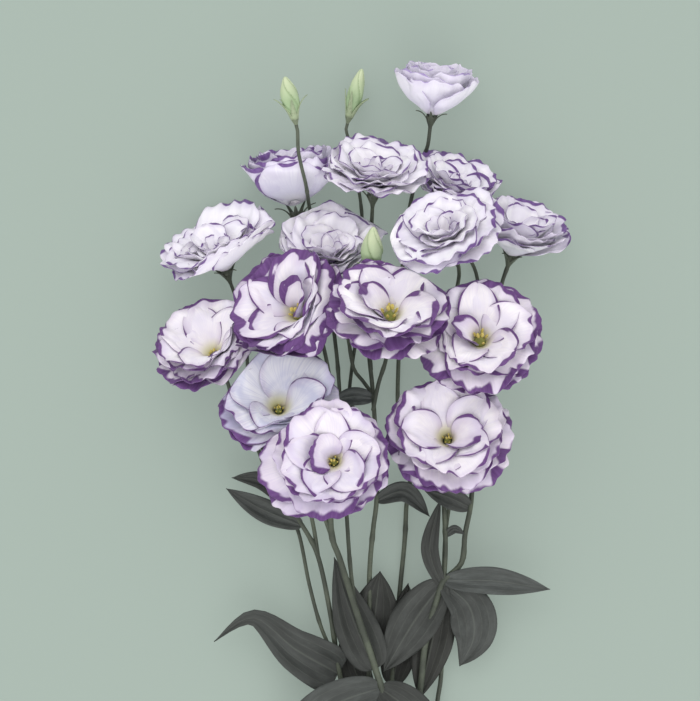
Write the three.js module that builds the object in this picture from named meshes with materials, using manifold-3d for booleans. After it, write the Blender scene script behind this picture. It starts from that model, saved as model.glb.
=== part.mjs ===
import * as THREE from "three";
import Module from "manifold-3d";

// A bunch of cut lisianthus that lies on its side, in millimetres.
// +Y runs from the cut stem ends to the top buds, +Z is up, away from the surface.

const wasm = await Module();
wasm.setup();

const DEG = Math.PI / 180;
const PETAL_THICKNESS = 0.8;

// Small vector helpers on [x, y, z].
const add = (a, b) => [a[0] + b[0], a[1] + b[1], a[2] + b[2]];
const sub = (a, b) => [a[0] - b[0], a[1] - b[1], a[2] - b[2]];
const mul = (a, k) => [a[0] * k, a[1] * k, a[2] * k];
const dot = (a, b) => a[0] * b[0] + a[1] * b[1] + a[2] * b[2];
const cross = (a, b) => [
  a[1] * b[2] - a[2] * b[1],
  a[2] * b[0] - a[0] * b[2],
  a[0] * b[1] - a[1] * b[0],
];
const unit = (a) => mul(a, 1 / (Math.hypot(a[0], a[1], a[2]) || 1));

// A seeded stream of draws between 0 and 1, the same on every run.
function draws(seed) {
  let state = seed;
  return () => {
    state = (state * 48271) % 2147483647;
    return state / 2147483647;
  };
}

// Heads. base is the foot of the corolla, axis looks out of the throat, size is 1 for a head of
// about 70 mm, open is the tip angle of the outer petals from the axis in degrees, and spin
// turns the head on its axis.
const HEADS = {
  top: { base: [41, 190.5, 23], axis: [0.12, 0.95, 0.26], size: 0.87, open: 22, spin: 20, seed: 11 },
  upper_left: { base: [-35.5, 136.5, 20], axis: [-0.1, 0.98, 0.1], size: 1.1, open: 30, spin: 0, seed: 12 },
  upper_mid: { base: [8, 146.5, 27], axis: [0.04, 0.86, 0.5], size: 0.98, open: 94, spin: 35, seed: 13 },
  upper_right: { base: [51, 141, 20], axis: [0.24, 0.83, 0.5], size: 0.88, open: 94, spin: 10, seed: 14 },
  right_high: { base: [51, 115, 58], axis: [-0.26, 0.71, 0.65], size: 0.98, open: 98, spin: 50, seed: 15 },
  far_right: { base: [86, 111.5, 22], axis: [0.28, 0.86, 0.42], size: 0.94, open: 66, spin: 25, seed: 16 },
  far_left: { base: [-75, 103, 26], axis: [-0.3, 0.84, 0.46], size: 0.96, open: 94, spin: 5, seed: 17 },
  mid_back: { base: [-16.5, 105, 25], axis: [-0.05, 0.75, 0.66], size: 1, open: 96, spin: 30, seed: 18 },
  mid_left: { base: [-31.5, 76, 46], axis: [-0.46, 0.44, 0.77], size: 1.05, open: 110, spin: 15, seed: 19 },
  mid: { base: [16.5, 73, 61], axis: [0.06, 0.66, 0.75], size: 0.99, open: 108, spin: 40, seed: 20 },
  mid_right: { base: [67, 60.5, 54], axis: [0.03, 0.48, 0.88], size: 0.96, open: 110, spin: 22, seed: 21 },
  left_low: { base: [-80, 52.5, 30], axis: [-0.32, 0.7, 0.64], size: 0.92, open: 106, spin: 48, seed: 22 },
  low_left: { base: [-45, 22.5, 40], axis: [0, 0.54, 0.84], size: 0.99, open: 104, spin: 33, seed: 23 },
  lowest: { base: [-13.5, -5, 64], axis: [-0.14, 0.26, 0.95], size: 0.93, open: 110, spin: 12, seed: 24 },
  low_right: { base: [49.5, 6, 48], axis: [0, 0.45, 0.89], size: 1, open: 110, spin: 28, seed: 25 },
};

// Which way the outer petals hang longer, as an x, y direction.
const SAG = {
  lowest: [-0.15, -0.03],
  mid_left: [-0.18, 0.06],
  mid_back: [-0.04, 0.05],
  far_left: [0.09, 0.05],
  right_high: [-0.07, -0.14],
  mid_right: [-0.12, -0.06],
  low_right: [0.02, -0.03],
};

// Heads that hold a style and stigma. All of them but right_high show these in a wide bowl.
// DOMES have closed centres, and CUPS are half open and seen from the side.
const FULL = ["right_high", "mid_left", "mid", "mid_right", "left_low", "low_left", "lowest", "low_right"];
const DOMES = ["right_high", "upper_mid", "upper_right", "far_right", "far_left", "mid_back"];
const CUPS = ["top", "upper_left"];

// Where two heads lean on each other: the front one, the one behind, how far the plane between
// them is laid back from upright in degrees, and how far it sits towards the one behind.
const LEANS = [
  ["mid", "mid_left", 40, 6.5],
  ["mid", "mid_right", 40, 2],
  ["mid", "mid_back", 60, 4],
  ["mid", "right_high", 10, -3],
  ["mid_left", "mid_back", 50],
  ["mid_left", "far_left", 45, 10],
  ["mid_left", "left_low", 45, 5.5],
  ["mid_left", "low_left", 10],
  ["mid_right", "right_high", 0],
  ["mid_right", "low_right", 20, 2],
  ["mid_right", "far_right", 50],
  ["right_high", "upper_right", 60],
  ["right_high", "far_right", 55],
  ["right_high", "mid_back", 50, 3],
  ["right_high", "upper_mid", 50],
  ["upper_mid", "upper_left", 30],
  ["upper_mid", "upper_right", 30],
  ["upper_mid", "mid_back", 0],
  ["upper_left", "mid_back", 0, -7],
  ["far_left", "mid_back", 20, 5],
  ["far_left", "upper_left", 0, 9],
  ["far_left", "left_low", 0],
  ["left_low", "low_left", 0],
  ["lowest", "low_left", 55, 6],
  ["lowest", "low_right", 25, -2],
  ["lowest", "mid", 0],
  ["mid", "low_left", 20],
  ["mid", "low_right", 20],
  ["upper_right", "far_right", 0],
  ["upper_right", "top", 0],
];

const RIM_HEIGHT = 16;
const FLOOR_CLEAR = 0.45;
const LEAN_CLEAR = 0.65;
const LEAN_SOFT = 4;

function rimCentre(head) {
  return add(head.base, mul(unit(head.axis), RIM_HEIGHT * head.size));
}

// The planes that keep one head's petals on its own side, each as { n, limit }: n . p < limit.
function planesFor(name) {
  const planes = [{ n: [0, 0, -1], limit: -FLOOR_CLEAR }];
  for (const [front, back, tilt, give = 0] of LEANS) {
    if (front !== name && back !== name) continue;
    const a = rimCentre(HEADS[back]);
    const b = rimCentre(HEADS[front]);
    const flat = unit([b[0] - a[0], b[1] - a[1], 0]);
    const share = HEADS[back].size / (HEADS[back].size + HEADS[front].size);
    const at = add(a, mul(sub(b, a), share));
    const n = [flat[0] * Math.cos(tilt * DEG), flat[1] * Math.cos(tilt * DEG), Math.sin(tilt * DEG)];
    const level = dot(n, at) - give;
    if (back === name) planes.push({ n, limit: level - LEAN_CLEAR });
    else planes.push({ n: mul(n, -1), limit: -level - LEAN_CLEAR });
  }
  return planes.concat(HELD[name] || []);
}

// Stems that pass close by hold a few petals back, as { n, limit } again.
const HELD = {
  upper_left: [
    { n: [0, -0.81, 0.58], limit: -102.5 },
    { n: [0, 0, 1], limit: 43.5 },
  ],
  mid_back: [
    { n: [0.8, -0.3, 0.5], limit: -9.4 },
    { n: [-0.5, 0.25, -0.83], limit: 31 },
  ],
  mid: [{ n: [0, 0.5, -0.87], limit: -0.8 }],
};

// Presses a point softly back to its side of every plane.
function press(p, planes) {
  let q = p;
  for (const soft of [LEAN_SOFT, LEAN_SOFT / 2, LEAN_SOFT / 4]) {
    for (const { n, limit } of planes) {
      const t = dot(n, q);
      const start = limit - soft;
      if (t > start) q = add(q, mul(n, limit - soft * Math.exp(-(t - start) / soft) - t));
    }
  }
  return q;
}

// One closed blade from rows of mid-surface points, split the same way on both faces.
// A row may hold two points only, and then fans out to the next one.
function bladeSolid(rows, thickness) {
  const starts = [];
  let total = 0;
  for (const row of rows) {
    starts.push(total);
    total += row.length;
  }
  const top = [];
  const bottom = [];
  rows.forEach((row, i) => {
    const before = rows[Math.max(i - 1, 0)];
    const after = rows[Math.min(i + 1, rows.length - 1)];
    row.forEach((p, j) => {
      const part = j / (row.length - 1);
      const along = sub(pointOn(after, part), pointOn(before, part));
      const across = sub(row[Math.min(j + 1, row.length - 1)], row[Math.max(j - 1, 0)]);
      const n = mul(unit(cross(across, along)), thickness / 2);
      top.push(add(p, n));
      bottom.push(sub(p, n));
    });
  });
  const faces = [];
  const both = (a, b, c) => faces.push([a, b, c], [total + a, total + c, total + b]);
  const side = (a, b) => faces.push([b, a, total + a], [b, total + a, total + b]);
  for (let i = 0; i + 1 < rows.length; i++) {
    const n = rows[i].length - 1;
    const m = rows[i + 1].length - 1;
    const low = starts[i];
    const high = starts[i + 1];
    if (n === m) {
      for (let j = 0; j < n; j++) {
        both(low + j, low + j + 1, high + j + 1);
        both(low + j, high + j + 1, high + j);
      }
    } else {
      const middle = Math.floor(m / 2);
      for (let j = 0; j < m; j++) both(low + (j < middle ? 0 : 1), high + j + 1, high + j);
      both(low, low + 1, high + middle);
    }
    side(high, low);
    side(low + n, high + m);
  }
  const last = starts[rows.length - 1];
  for (let j = 0; j + 1 < rows[0].length; j++) side(j, j + 1);
  for (let j = 0; j + 1 < rows[rows.length - 1].length; j++) side(last + j + 1, last + j);
  return solidFrom([...top, ...bottom], faces);
}

// The point at a share of the way along a row.
function pointOn(row, part) {
  const at = part * (row.length - 1);
  const j = Math.min(Math.floor(at), row.length - 2);
  return add(row[j], mul(sub(row[j + 1], row[j]), at - j));
}

function solidFrom(points, faces) {
  const made = new wasm.Manifold(
    new wasm.Mesh({
      numProp: 3,
      vertProperties: new Float32Array(points.flat()),
      triVerts: new Uint32Array(faces.flat()),
    }),
  );
  if (made.volume() > 0) return made;
  const turned = faces.map(([a, b, c]) => [a, c, b]);
  return new wasm.Manifold(
    new wasm.Mesh({
      numProp: 3,
      vertProperties: new Float32Array(points.flat()),
      triVerts: new Uint32Array(turned.flat()),
    }),
  );
}

// A smooth line through points, cut into short steps of about the given length.
function smoothLine(points, step) {
  const out = [];
  for (let i = 0; i + 1 < points.length; i++) {
    const p0 = points[Math.max(i - 1, 0)];
    const p1 = points[i];
    const p2 = points[i + 1];
    const p3 = points[Math.min(i + 2, points.length - 1)];
    const count = Math.max(1, Math.round(Math.hypot(...sub(p2, p1)) / step));
    for (let k = 0; k < count; k++) {
      const t = k / count;
      const w0 = ((2 - t) * t - 1) * t * 0.5;
      const w1 = ((3 * t - 5) * t * t + 2) * 0.5;
      const w2 = ((4 - 3 * t) * t + 1) * t * 0.5;
      const w3 = (t - 1) * t * t * 0.5;
      out.push(add(add(mul(p0, w0), mul(p1, w1)), add(mul(p2, w2), mul(p3, w3))));
    }
  }
  out.push(points[points.length - 1]);
  return out;
}

// A round bar along a line, its radius going evenly from the first value to the last.
function tubeSolid(line, radii, sides) {
  const rings = [];
  let ref = [0.31, 0.17, 0.93];
  for (let i = 0; i < line.length; i++) {
    const ahead = unit(sub(line[Math.min(i + 1, line.length - 1)], line[Math.max(i - 1, 0)]));
    const u = unit(sub(ref, mul(ahead, dot(ref, ahead))));
    const v = cross(ahead, u);
    ref = u;
    const along = i / (line.length - 1);
    const slot = along * (radii.length - 1);
    const k = Math.min(Math.floor(slot), radii.length - 2);
    const radius = radii[k] + (radii[k + 1] - radii[k]) * (slot - k);
    const ring = [];
    for (let s = 0; s < sides; s++) {
      const turn = (s / sides) * 2 * Math.PI;
      ring.push(add(line[i], add(mul(u, radius * Math.cos(turn)), mul(v, radius * Math.sin(turn)))));
    }
    rings.push(ring);
  }
  return ringsSolid(rings);
}

// Closes a stack of rings with a flat cap at each end.
function ringsSolid(rings) {
  const sides = rings[0].length;
  const points = rings.flat();
  const faces = [];
  for (let i = 0; i + 1 < rings.length; i++) {
    for (let s = 0; s < sides; s++) {
      const a = i * sides + s;
      const b = i * sides + ((s + 1) % sides);
      faces.push([a, b, b + sides], [a, b + sides, a + sides]);
    }
  }
  const last = (rings.length - 1) * sides;
  for (let s = 1; s + 1 < sides; s++) {
    faces.push([0, s + 1, s], [last, last + s, last + s + 1]);
  }
  return solidFrom(points, faces);
}

// A turned shape on an axis: profile is a list of [height, radius].
function turnedSolid(base, axis, profile, sides, spin) {
  const f = frameOf(axis, spin);
  const rings = profile.map(([h, r]) => {
    const ring = [];
    for (let s = 0; s < sides; s++) {
      const turn = (s / sides) * 2 * Math.PI;
      ring.push(place(base, f, [r * Math.cos(turn), r * Math.sin(turn), h]));
    }
    return ring;
  });
  return ringsSolid(rings);
}

// A frame with its third direction along the axis.
function frameOf(axis, spin) {
  const w = unit(axis);
  const side = unit(cross([0.2, 1, 0.1], w));
  const up = cross(w, side);
  const c = Math.cos(spin * DEG);
  const s = Math.sin(spin * DEG);
  const u = add(mul(side, c), mul(up, s));
  return { u, v: cross(w, u), w };
}

function place(base, f, p) {
  return add(base, add(add(mul(f.u, p[0]), mul(f.v, p[1])), mul(f.w, p[2])));
}

// Petals run in one spiral from the outermost in, two fifths of a turn apart, and each stands
// a little closer to the axis than the one before. Pairs hold the values at the two ends, for a
// head of size 1, and tip is added to the head's own tip angle, petal by petal.
const BOWL = {
  length: [36, 36],
  half: [22, 17],
  foot: [58, 24],
  tip: [2, -2, -6, -10, -14, -26, -32, -38, -44],
};
const DOME = {
  length: [37, 33],
  half: [22, 16],
  foot: [50, 26],
  tip: [0, -3, -6, -9, -12, -22, -32],
};
const CUP = {
  length: [37, 33],
  half: [21, 14],
  foot: [61, 34],
  tip: [4, 2, 0, -2, -4, -9, -14],
};
const OUTER = 5;
const SPIRAL_TURN = 144;
const LAYER_TURN = 36;
const CLAW_RADIUS = [2.2, 2.05];
const CLAW_LIFT = [0.5, 2.3];
const WAVE = [3, 2];

// The edge wave runs round the whole head in this many folds, and each petal leans a little
// sideways on its way out, in radians. Petals wrap no tighter than WRAP_RADIUS.
const FOLDS = 7;
const TWIST = 0.15;
const WRAP_RADIUS = 2.4;

// The mid-surface of one petal at u across (-1 to 1) and v along (0 to 1), in the head's frame.
function petalPoint(petal, u, v) {
  const s = petal.length * v * (1 - 0.2 * Math.pow(Math.abs(u), 2.5) * v * v);
  const rise = Math.pow(Math.sin((Math.PI / 2) * Math.min(1, v / 0.8)), 1.3);
  const past = Math.max(0, (v - 0.8) / 0.2);
  const half = petal.claw + (petal.half - petal.claw) * rise * (1 - 0.16 * past * past);
  const x = u * half;
  const middle = 1 - u * u;
  const range = (petal.tip + petal.tipShift * middle - petal.foot) * DEG;
  const t0 = petal.foot * DEG;
  const t1 = t0 + (range * s) / petal.reach;
  const r = petal.radius + (petal.reach / range) * (Math.cos(t0) - Math.cos(t1));
  const h = petal.lift + (petal.reach / range) * (Math.sin(t1) - Math.sin(t0));
  const around = petal.turn + TWIST * v + x / Math.max(r, WRAP_RADIUS);
  const wave = petal.wave * v * v * (Math.sin(FOLDS * around + petal.phase) - 0.3);
  const rr = r - wave * Math.cos(t1);
  const hh = h + wave * Math.sin(t1);
  return [rr * Math.cos(around), rr * Math.sin(around), hh];
}

// All petals of a head with their own small differences.
function petalsOf(name) {
  const head = HEADS[name];
  const draw = draws(head.seed * 7919);
  const f = frameOf(head.axis, head.spin);
  const phase = draw() * 6.28;
  const shape = CUPS.includes(name) ? CUP : DOMES.includes(name) ? DOME : BOWL;
  const petals = [];
  for (let k = 0; k < shape.tip.length; k++) {
    const inward = k / (shape.tip.length - 1);
    const between = ([a, b]) => a + (b - a) * inward;
    const degrees = SPIRAL_TURN * k + LAYER_TURN * Math.floor(k / OUTER) + (draw() - 0.5) * 8;
    const turn = degrees * DEG;
    const out = add(mul(f.u, Math.cos(turn)), mul(f.v, Math.sin(turn)));
    const hang = SAG[name] ? Math.max(0, out[0] * SAG[name][0] + out[1] * SAG[name][1]) * 2 : 0;
    const reach = between(shape.length) * head.size;
    petals.push({
      turn,
      across: k < OUTER ? 4 : 3,
      reach,
      length: reach * (0.95 + 0.1 * draw() + hang),
      half: between(shape.half) * head.size * (0.94 + 0.12 * draw()),
      claw: 1.4 * head.size,
      foot: between(shape.foot),
      tip: head.open + shape.tip[k],
      tipShift: (draw() - 0.5) * 4 + hang * 20,
      radius: between(CLAW_RADIUS) * head.size,
      lift: between(CLAW_LIFT) * head.size,
      wave: between(WAVE) * head.size,
      phase,
    });
  }
  return petals;
}

// Shares of a petal's length where its narrow claw and its blade have a row of points.
const CLAW_ROWS = [0.02, 0.11];
const BLADE_ROWS = [0.5, 1];
const FOOT_HEIGHT = 3.8;
const FOOT_RADIUS = 3.9;

// A corolla: every petal grows out of a small five-sided foot.
function corollaSolids(name) {
  const head = HEADS[name];
  const f = frameOf(head.axis, head.spin);
  const planes = planesFor(name);
  const size = head.size;
  const petals = petalsOf(name);
  const facing = head.spin + petals[0].turn / DEG + 36;
  const profile = [
    [0, FOOT_RADIUS * size * 0.9],
    [FOOT_HEIGHT * size, FOOT_RADIUS * size],
  ];
  const solids = [turnedSolid(head.base, head.axis, profile, 5, facing)];
  for (const petal of petals) {
    const rowAt = (v, across) => {
      const row = [];
      for (let j = 0; j <= across; j++) {
        const u = -1 + (2 * j) / across;
        row.push(press(place(head.base, f, petalPoint(petal, u, v)), planes));
      }
      return row;
    };
    const rows = [
      ...CLAW_ROWS.map((v) => rowAt(v, 1)),
      ...BLADE_ROWS.map((v) => rowAt(v, petal.across)),
    ];
    solids.push(bladeSolid(rows, PETAL_THICKNESS));
  }
  return solids;
}

// The style and stigma in an open throat, just clear of the foot.
function centreSolid(head) {
  const size = head.size;
  const low = FOOT_HEIGHT * size + 0.3;
  const profile = [
    [low, 0.55],
    [low + 4.5 * size, 0.55],
    [low + 6.5 * size, 1.3],
    [low + 8.5 * size, 0.8],
  ];
  return turnedSolid(head.base, head.axis, profile, 6, head.spin);
}

// Buds: base is the foot of the rolled petals, tip its point.
const BUDS = {
  left: { base: [-36.4, 189.5, 48], tip: [-41.4, 211, 51], radius: 5.6, sepal: 15 },
  middle: { base: [-5, 192, 12], tip: [1.7, 217.3, 14], radius: 4.9, sepal: 16 },
  low: { base: [6.5, 102, 51], tip: [8, 126.5, 66], radius: 6.6, sepal: 12 },
};

const BUD_PROFILE = [
  [0, 0.36],
  [0.14, 0.66],
  [0.34, 0.96],
  [0.56, 0.92],
  [0.78, 0.62],
  [0.93, 0.33],
  [1, 0.16],
];

function budSolid(bud) {
  const axis = sub(bud.tip, bud.base);
  const length = Math.hypot(...axis);
  const f = frameOf(axis, 0);
  const rings = BUD_PROFILE.map(([along, wide]) => {
    const ring = [];
    for (let s = 0; s < 10; s++) {
      const turn = ((s / 10 + along * 0.22) * 2 * Math.PI) % (2 * Math.PI);
      const r = bud.radius * wide * (s % 2 ? 0.9 : 1);
      ring.push(place(bud.base, f, [r * Math.cos(turn), r * Math.sin(turn), along * length]));
    }
    return ring;
  });
  return ringsSolid(rings);
}

// The green cup under a head with five pointed sepals. reach is a sepal's length and spread
// its angle from the axis.
function calyxSolid(base, axis, size, reach, spread) {
  const f = frameOf(axis, 0);
  const ring = (h, r) => {
    const out = [];
    for (let s = 0; s < 10; s++) out.push(place(base, f, polar(r, s * 36, h)));
    return out;
  };
  const sepals = ring(-2.2 * size, 3.1 * size);
  for (let s = 0; s < 10; s += 2) {
    const r = 3.1 * size + reach * Math.sin(spread * DEG);
    const h = -2.2 * size + reach * Math.cos(spread * DEG);
    sepals[s] = place(base, f, polar(r, s * 36, h));
  }
  const rings = [ring(-8.5 * size, 1.3), ring(-4 * size, 2.7 * size), sepals, ring(-0.3, 3.3 * size)];
  return ringsSolid(rings);
}

function polar(r, degrees, h) {
  return [r * Math.cos(degrees * DEG), r * Math.sin(degrees * DEG), h];
}

// Stem lines as points, with the radius at the foot and at the top. to names the head or bud
// that a line ends in.
const STEMS = {
  left: [
    {
      points: [[2.4, -238, 1.5], [2.4, -205, 1.6], [-5, -149, 6], [-11, -125, 8],
        [-16, -92, 11], [-23, -59, 14], [-32, -41, 16], [-41, -29, 15],
        [-51, -12, 13], [-61, 11, 11], [-71, 29, 10]],
      radii: [1.5, 1.5, 1.3, 1.1],
      to: "left_low",
    },
    {
      points: [[-23, -59, 14], [-26, -40, 15], [-31, -20, 17], [-38, 0, 19]],
      radii: [1.2, 1.1],
      to: "low_left",
    },
    {
      points: [[-12, -119, 8.5], [-21, -100, 9], [-28, -75, 9], [-34, -46, 9],
        [-42, -28, 8], [-52, -5, 7], [-60, 20, 6], [-63, 45, 6], [-64, 68, 8]],
      radii: [1.1, 1],
      to: "far_left",
    },
  ],
  centre_left: [
    {
      points: [[7.8, -232, 4.7], [7.8, -205, 4.9], [16, -152, 12], [9, -121, 16],
        [1, -97, 19], [-6, -75, 21], [-11, -59, 22], [-15, -48, 23],
        [-16, -33, 26], [-15, -17, 33]],
      radii: [2, 2, 1.8, 1.4],
      to: "lowest",
    },
    {
      points: [[-15, -48, 23], [-21, -26, 24], [-19, 8, 24], [-16, 36, 24]],
      radii: [1.4, 1.1],
      to: "mid_left",
    },
    {
      points: [[-2, -88, 19.5], [-5, -63, 16], [-7, -34, 14], [-9, -3, 10],
        [-11, 35, 7.5], [-13, 59, 6.5], [-17, 86, 5.5], [-24, 106, 5]],
      radii: [1.2, 1.1],
      to: "upper_left",
    },
    {
      points: [[-17, 86, 5.5], [-22, 112, 4], [-26, 130, 5], [-28, 139, 16],
        [-29, 146, 33], [-30, 152, 43], [-32, 160, 48], [-34, 170, 49]],
      radii: [1.1, 1],
      to: "left",
    },
  ],
  centre: [
    {
      points: [[5.7, -240, 1.5], [5.7, -205, 1.6], [5, -149, 4], [6, -115, 7],
        [6, -70, 9], [8, -44, 10], [10, -27, 11], [10, -3, 11], [8, 33, 11],
        [6, 53, 10], [4, 81, 8], [6, 105, 7]],
      radii: [1.5, 1.5, 1.3, 1.1],
      to: "upper_mid",
    },
    {
      points: [[8, 24, 11], [11, 39, 16], [15, 52, 28]],
      radii: [1.2, 1.1],
      to: "mid",
    },
    {
      points: [[7, 47, 10], [5, 70, 16], [4, 84, 28]],
      radii: [1.1, 1],
      to: "low",
    },
    {
      points: [[8, 33, 11], [2, 41, 11], [-3, 48, 11], [-6, 64, 11], [-10, 80, 10]],
      radii: [1.1, 1],
      to: "mid_back",
    },
    {
      points: [[9, 6, 11], [2, 17, 9], [-5, 30, 6], [-4, 48, 5], [-1, 69, 4],
        [1, 97, 3], [2, 125, 3], [1, 142, 3], [-2, 159, 3], [-5, 174, 8]],
      radii: [1.1, 0.9],
      to: "middle",
    },
  ],
  top: [
    {
      points: [[9.9, -235, 1.5], [9.9, -205, 1.5], [17, -149, 2.5], [23, -81, 3.5],
        [26, -50, 4], [27, -30, 4], [29, -17, 4], [25, 8, 4], [22, 30, 4],
        [24, 86, 4], [25, 109, 4], [27, 128, 4], [30, 145, 4], [33, 156, 5],
        [36, 166, 8]],
      radii: [1.5, 1.4, 1.2, 1.1],
      to: "top",
    },
  ],
  right: [
    {
      points: [[12, -239, 4.6], [12, -205, 4.8], [27, -160, 9], [34, -138, 11],
        [38, -105, 14], [45, -80, 16], [48, -72, 16], [58, -62, 16],
        [60, -46, 16], [63, -31, 16], [64, -21, 15], [66, 2, 14],
        [70, 30, 13], [74, 58, 11], [78, 80, 9]],
      radii: [1.9, 1.8, 1.4, 1.1],
      to: "far_right",
    },
    {
      points: [[48, -72, 16], [49, -53, 16], [48, -27, 16], [48, -9, 15],
        [48, 20, 15], [50, 50, 16], [52, 76, 22]],
      radii: [1.4, 1.1],
      to: "right_high",
    },
    {
      points: [[48, -27, 16], [50, -15, 20]],
      radii: [1.2, 1.1],
      to: "low_right",
    },
    {
      points: [[70, 30, 13], [72, 41, 20]],
      radii: [1.2, 1.1],
      to: "mid_right",
    },
  ],
  right_back: [
    {
      points: [[14.1, -230, 1.3], [14.1, -205, 1.4], [40, -160, 3], [45, -138, 4],
        [47, -120, 5], [48, -76, 6], [49, -48, 6], [52, -26, 6], [58, 2, 6],
        [62, 30, 6], [66, 64, 5], [68, 89, 4], [64, 108, 4]],
      radii: [1.3, 1.3, 1.1, 1],
      to: "upper_right",
    },
  ],
};

// Leaves: the stem each grows on, its midrib from root to tip, half width and how deep it
// folds. A belly over 1 puts the widest place nearer the root.
const LEAVES = [
  { on: "left", line: [[-32, -41, 16], [-54, -32, 18], [-75, -20, 20]], half: 6.5, fold: 0.25 },
  { on: "left", line: [[-41, -29, 15], [-54, -16, 17], [-72, -14, 15]], half: 5, fold: 0.3 },
  {
    on: "left",
    line: [[-12, -125, 8], [-36, -111, 14], [-60, -93, 17], [-82, -107, 9]],
    half: 13.5,
    fold: 0.4,
    belly: 1.9,
  },
  { on: "centre_left", line: [[12, -133, 14.5], [-12, -141, 22], [-50, -164, 12]], half: 12.5, fold: 0.3 },
  { on: "centre_left", line: [[12, -133, 14.5], [29, -146, 21], [46, -172, 12]], half: 12, fold: 0.3 },
  {
    on: "centre_left",
    line: [[9, -122, 16], [-4, -92, 13], [-14, -59, 13]],
    half: 12,
    fold: 0.2,
    belly: 1.4,
  },
  { on: "centre", line: [[6, -116, 7], [9, -93, 8.5], [12, -67, 10]], half: 13.5, fold: 0.15 },
  { on: "centre", line: [[5.3, -140, 4.8], [-3, -121, 4.6], [-8, -98, 6]], half: 8.5, fold: 0.1 },
  { on: "centre", line: [[10, -27, 11], [26, -22, 14], [40, -36, 12]], half: 5.5, fold: 0.35 },
  { on: "centre", line: [[8, 31, 11], [-4, 32, 14], [-16, 29, 13]], half: 5, fold: 0.3 },
  { on: "right", line: [[48, -73, 16], [32, -94, 14.5], [14, -124, 12]], half: 13, fold: 0.2 },
  { on: "right", line: [[47, -77, 15], [42, -104, 10.5], [34, -140, 8.2]], half: 10, fold: 0.1 },
  { on: "right", line: [[48, -72, 16], [76, -72, 20], [108, -77, 19]], half: 7.5, fold: 0.35 },
  {
    on: "right",
    line: [[47, -73, 16], [64, -84, 15], [68, -103, 12], [58, -121, 9]],
    half: 13.5,
    fold: 0.3,
    belly: 0.85,
  },
  { on: "right", line: [[47, -75, 16], [40, -54, 19], [46, -26, 20]], half: 4.8, fold: 0.3 },
  { on: "right", line: [[49, -47, 16], [54, -43, 17.5], [60, -46, 17]], half: 2.4, fold: 0.2 },
  { on: "right", line: [[63, -31, 16], [51, -25, 20], [36, -20, 19]], half: 6, fold: 0.3 },
  { on: "top", line: [[19, -132, 2.7], [24, -104, 5], [28, -74, 6.5]], half: 10.5, fold: 0.1 },
];

const LEAF_THICKNESS = 0.8;
const LEAF_ROWS = [0, 0.14, 0.36, 0.6, 0.84, 1];
const LEAF_WIDTHS = [0.12, 0.5, 0.95, 0.98, 0.55, 0.05];

// A pointed leaf with a folded midrib and waved edges.
function leafSolid(leaf) {
  const fine = smoothLine(leaf.line, 2);
  const rows = LEAF_ROWS.map((share, i) => {
    const t = Math.pow(share, leaf.belly || 1);
    const at = pointOn(fine, t);
    const ahead = unit(sub(pointOn(fine, Math.min(1, t + 0.04)), pointOn(fine, Math.max(0, t - 0.04))));
    const side = unit(cross(ahead, [0, 0, 1]));
    const up = cross(side, ahead);
    const half = leaf.half * LEAF_WIDTHS[i];
    const wave = leaf.half * 0.13 * Math.sin(t * 11 + leaf.half);
    return [-1, 0, 1].map((u) => {
      const lift = u === 0 ? 0 : leaf.fold * half + wave * u * Math.min(1, t * 3);
      return add(at, add(mul(side, u * half), mul(up, lift)));
    });
  });
  return bladeSolid(rows, LEAF_THICKNESS);
}

const STEM_STEP = 32;

// A leafy stem with its side branches, leaves and the calyx under each of its heads.
function stemSolids(name) {
  const solids = [];
  STEMS[name].forEach(({ points, radii, to }, i) => {
    const head = HEADS[to];
    const bud = BUDS[to];
    const base = head ? head.base : bud.base;
    const axis = unit(head ? head.axis : sub(bud.tip, bud.base));
    const size = head ? head.size : 0.72;
    const back = (far) => sub(base, mul(axis, far));
    const lead = head ? back(20 * size) : back(9);
    const line = smoothLine([...points, lead, back(7.5 * size)], STEM_STEP);
    solids.push(tubeSolid(line, radii, i === 0 ? 5 : 4));
    if (head) solids.push(calyxSolid(base, axis, size, 9.5 * size, 56));
    else solids.push(calyxSolid(base, axis, size, bud.sepal, 34));
  });
  for (const leaf of LEAVES) {
    if (leaf.on === name) solids.push(leafSolid(leaf));
  }
  return solids;
}

// Joins solids to one closed body: the largest one, with sealed hollows filled.
function fuse(solids) {
  const whole = wasm.Manifold.union(solids).simplify(0.05);
  const bodies = whole.decompose().sort((a, b) => b.volume() - a.volume());
  return bodies[0];
}

const PETAL = new THREE.MeshStandardMaterial({ color: 0xe4dfee, roughness: 0.7, metalness: 0 });
const FOLIAGE = new THREE.MeshStandardMaterial({ color: 0x55604f, roughness: 0.6, metalness: 0 });
const BUD = new THREE.MeshStandardMaterial({ color: 0xb9c796, roughness: 0.6, metalness: 0 });
const THROAT = new THREE.MeshStandardMaterial({ color: 0xb3a350, roughness: 0.6, metalness: 0 });

function meshOf(name, solid, material) {
  const data = solid.getMesh();
  const positions = new Float32Array(data.numVert * 3);
  for (let i = 0; i < data.numVert; i++) {
    for (let k = 0; k < 3; k++) positions[i * 3 + k] = data.vertProperties[i * data.numProp + k];
  }
  const geometry = new THREE.BufferGeometry();
  geometry.setAttribute("position", new THREE.BufferAttribute(positions, 3));
  geometry.setIndex(new THREE.BufferAttribute(new Uint32Array(data.triVerts), 1));
  geometry.computeVertexNormals();
  const mesh = new THREE.Mesh(geometry, material);
  mesh.name = name;
  return mesh;
}

// Puts the origin on the surface under the middle of the bunch.
const MIDDLE_Y = -11;

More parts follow.
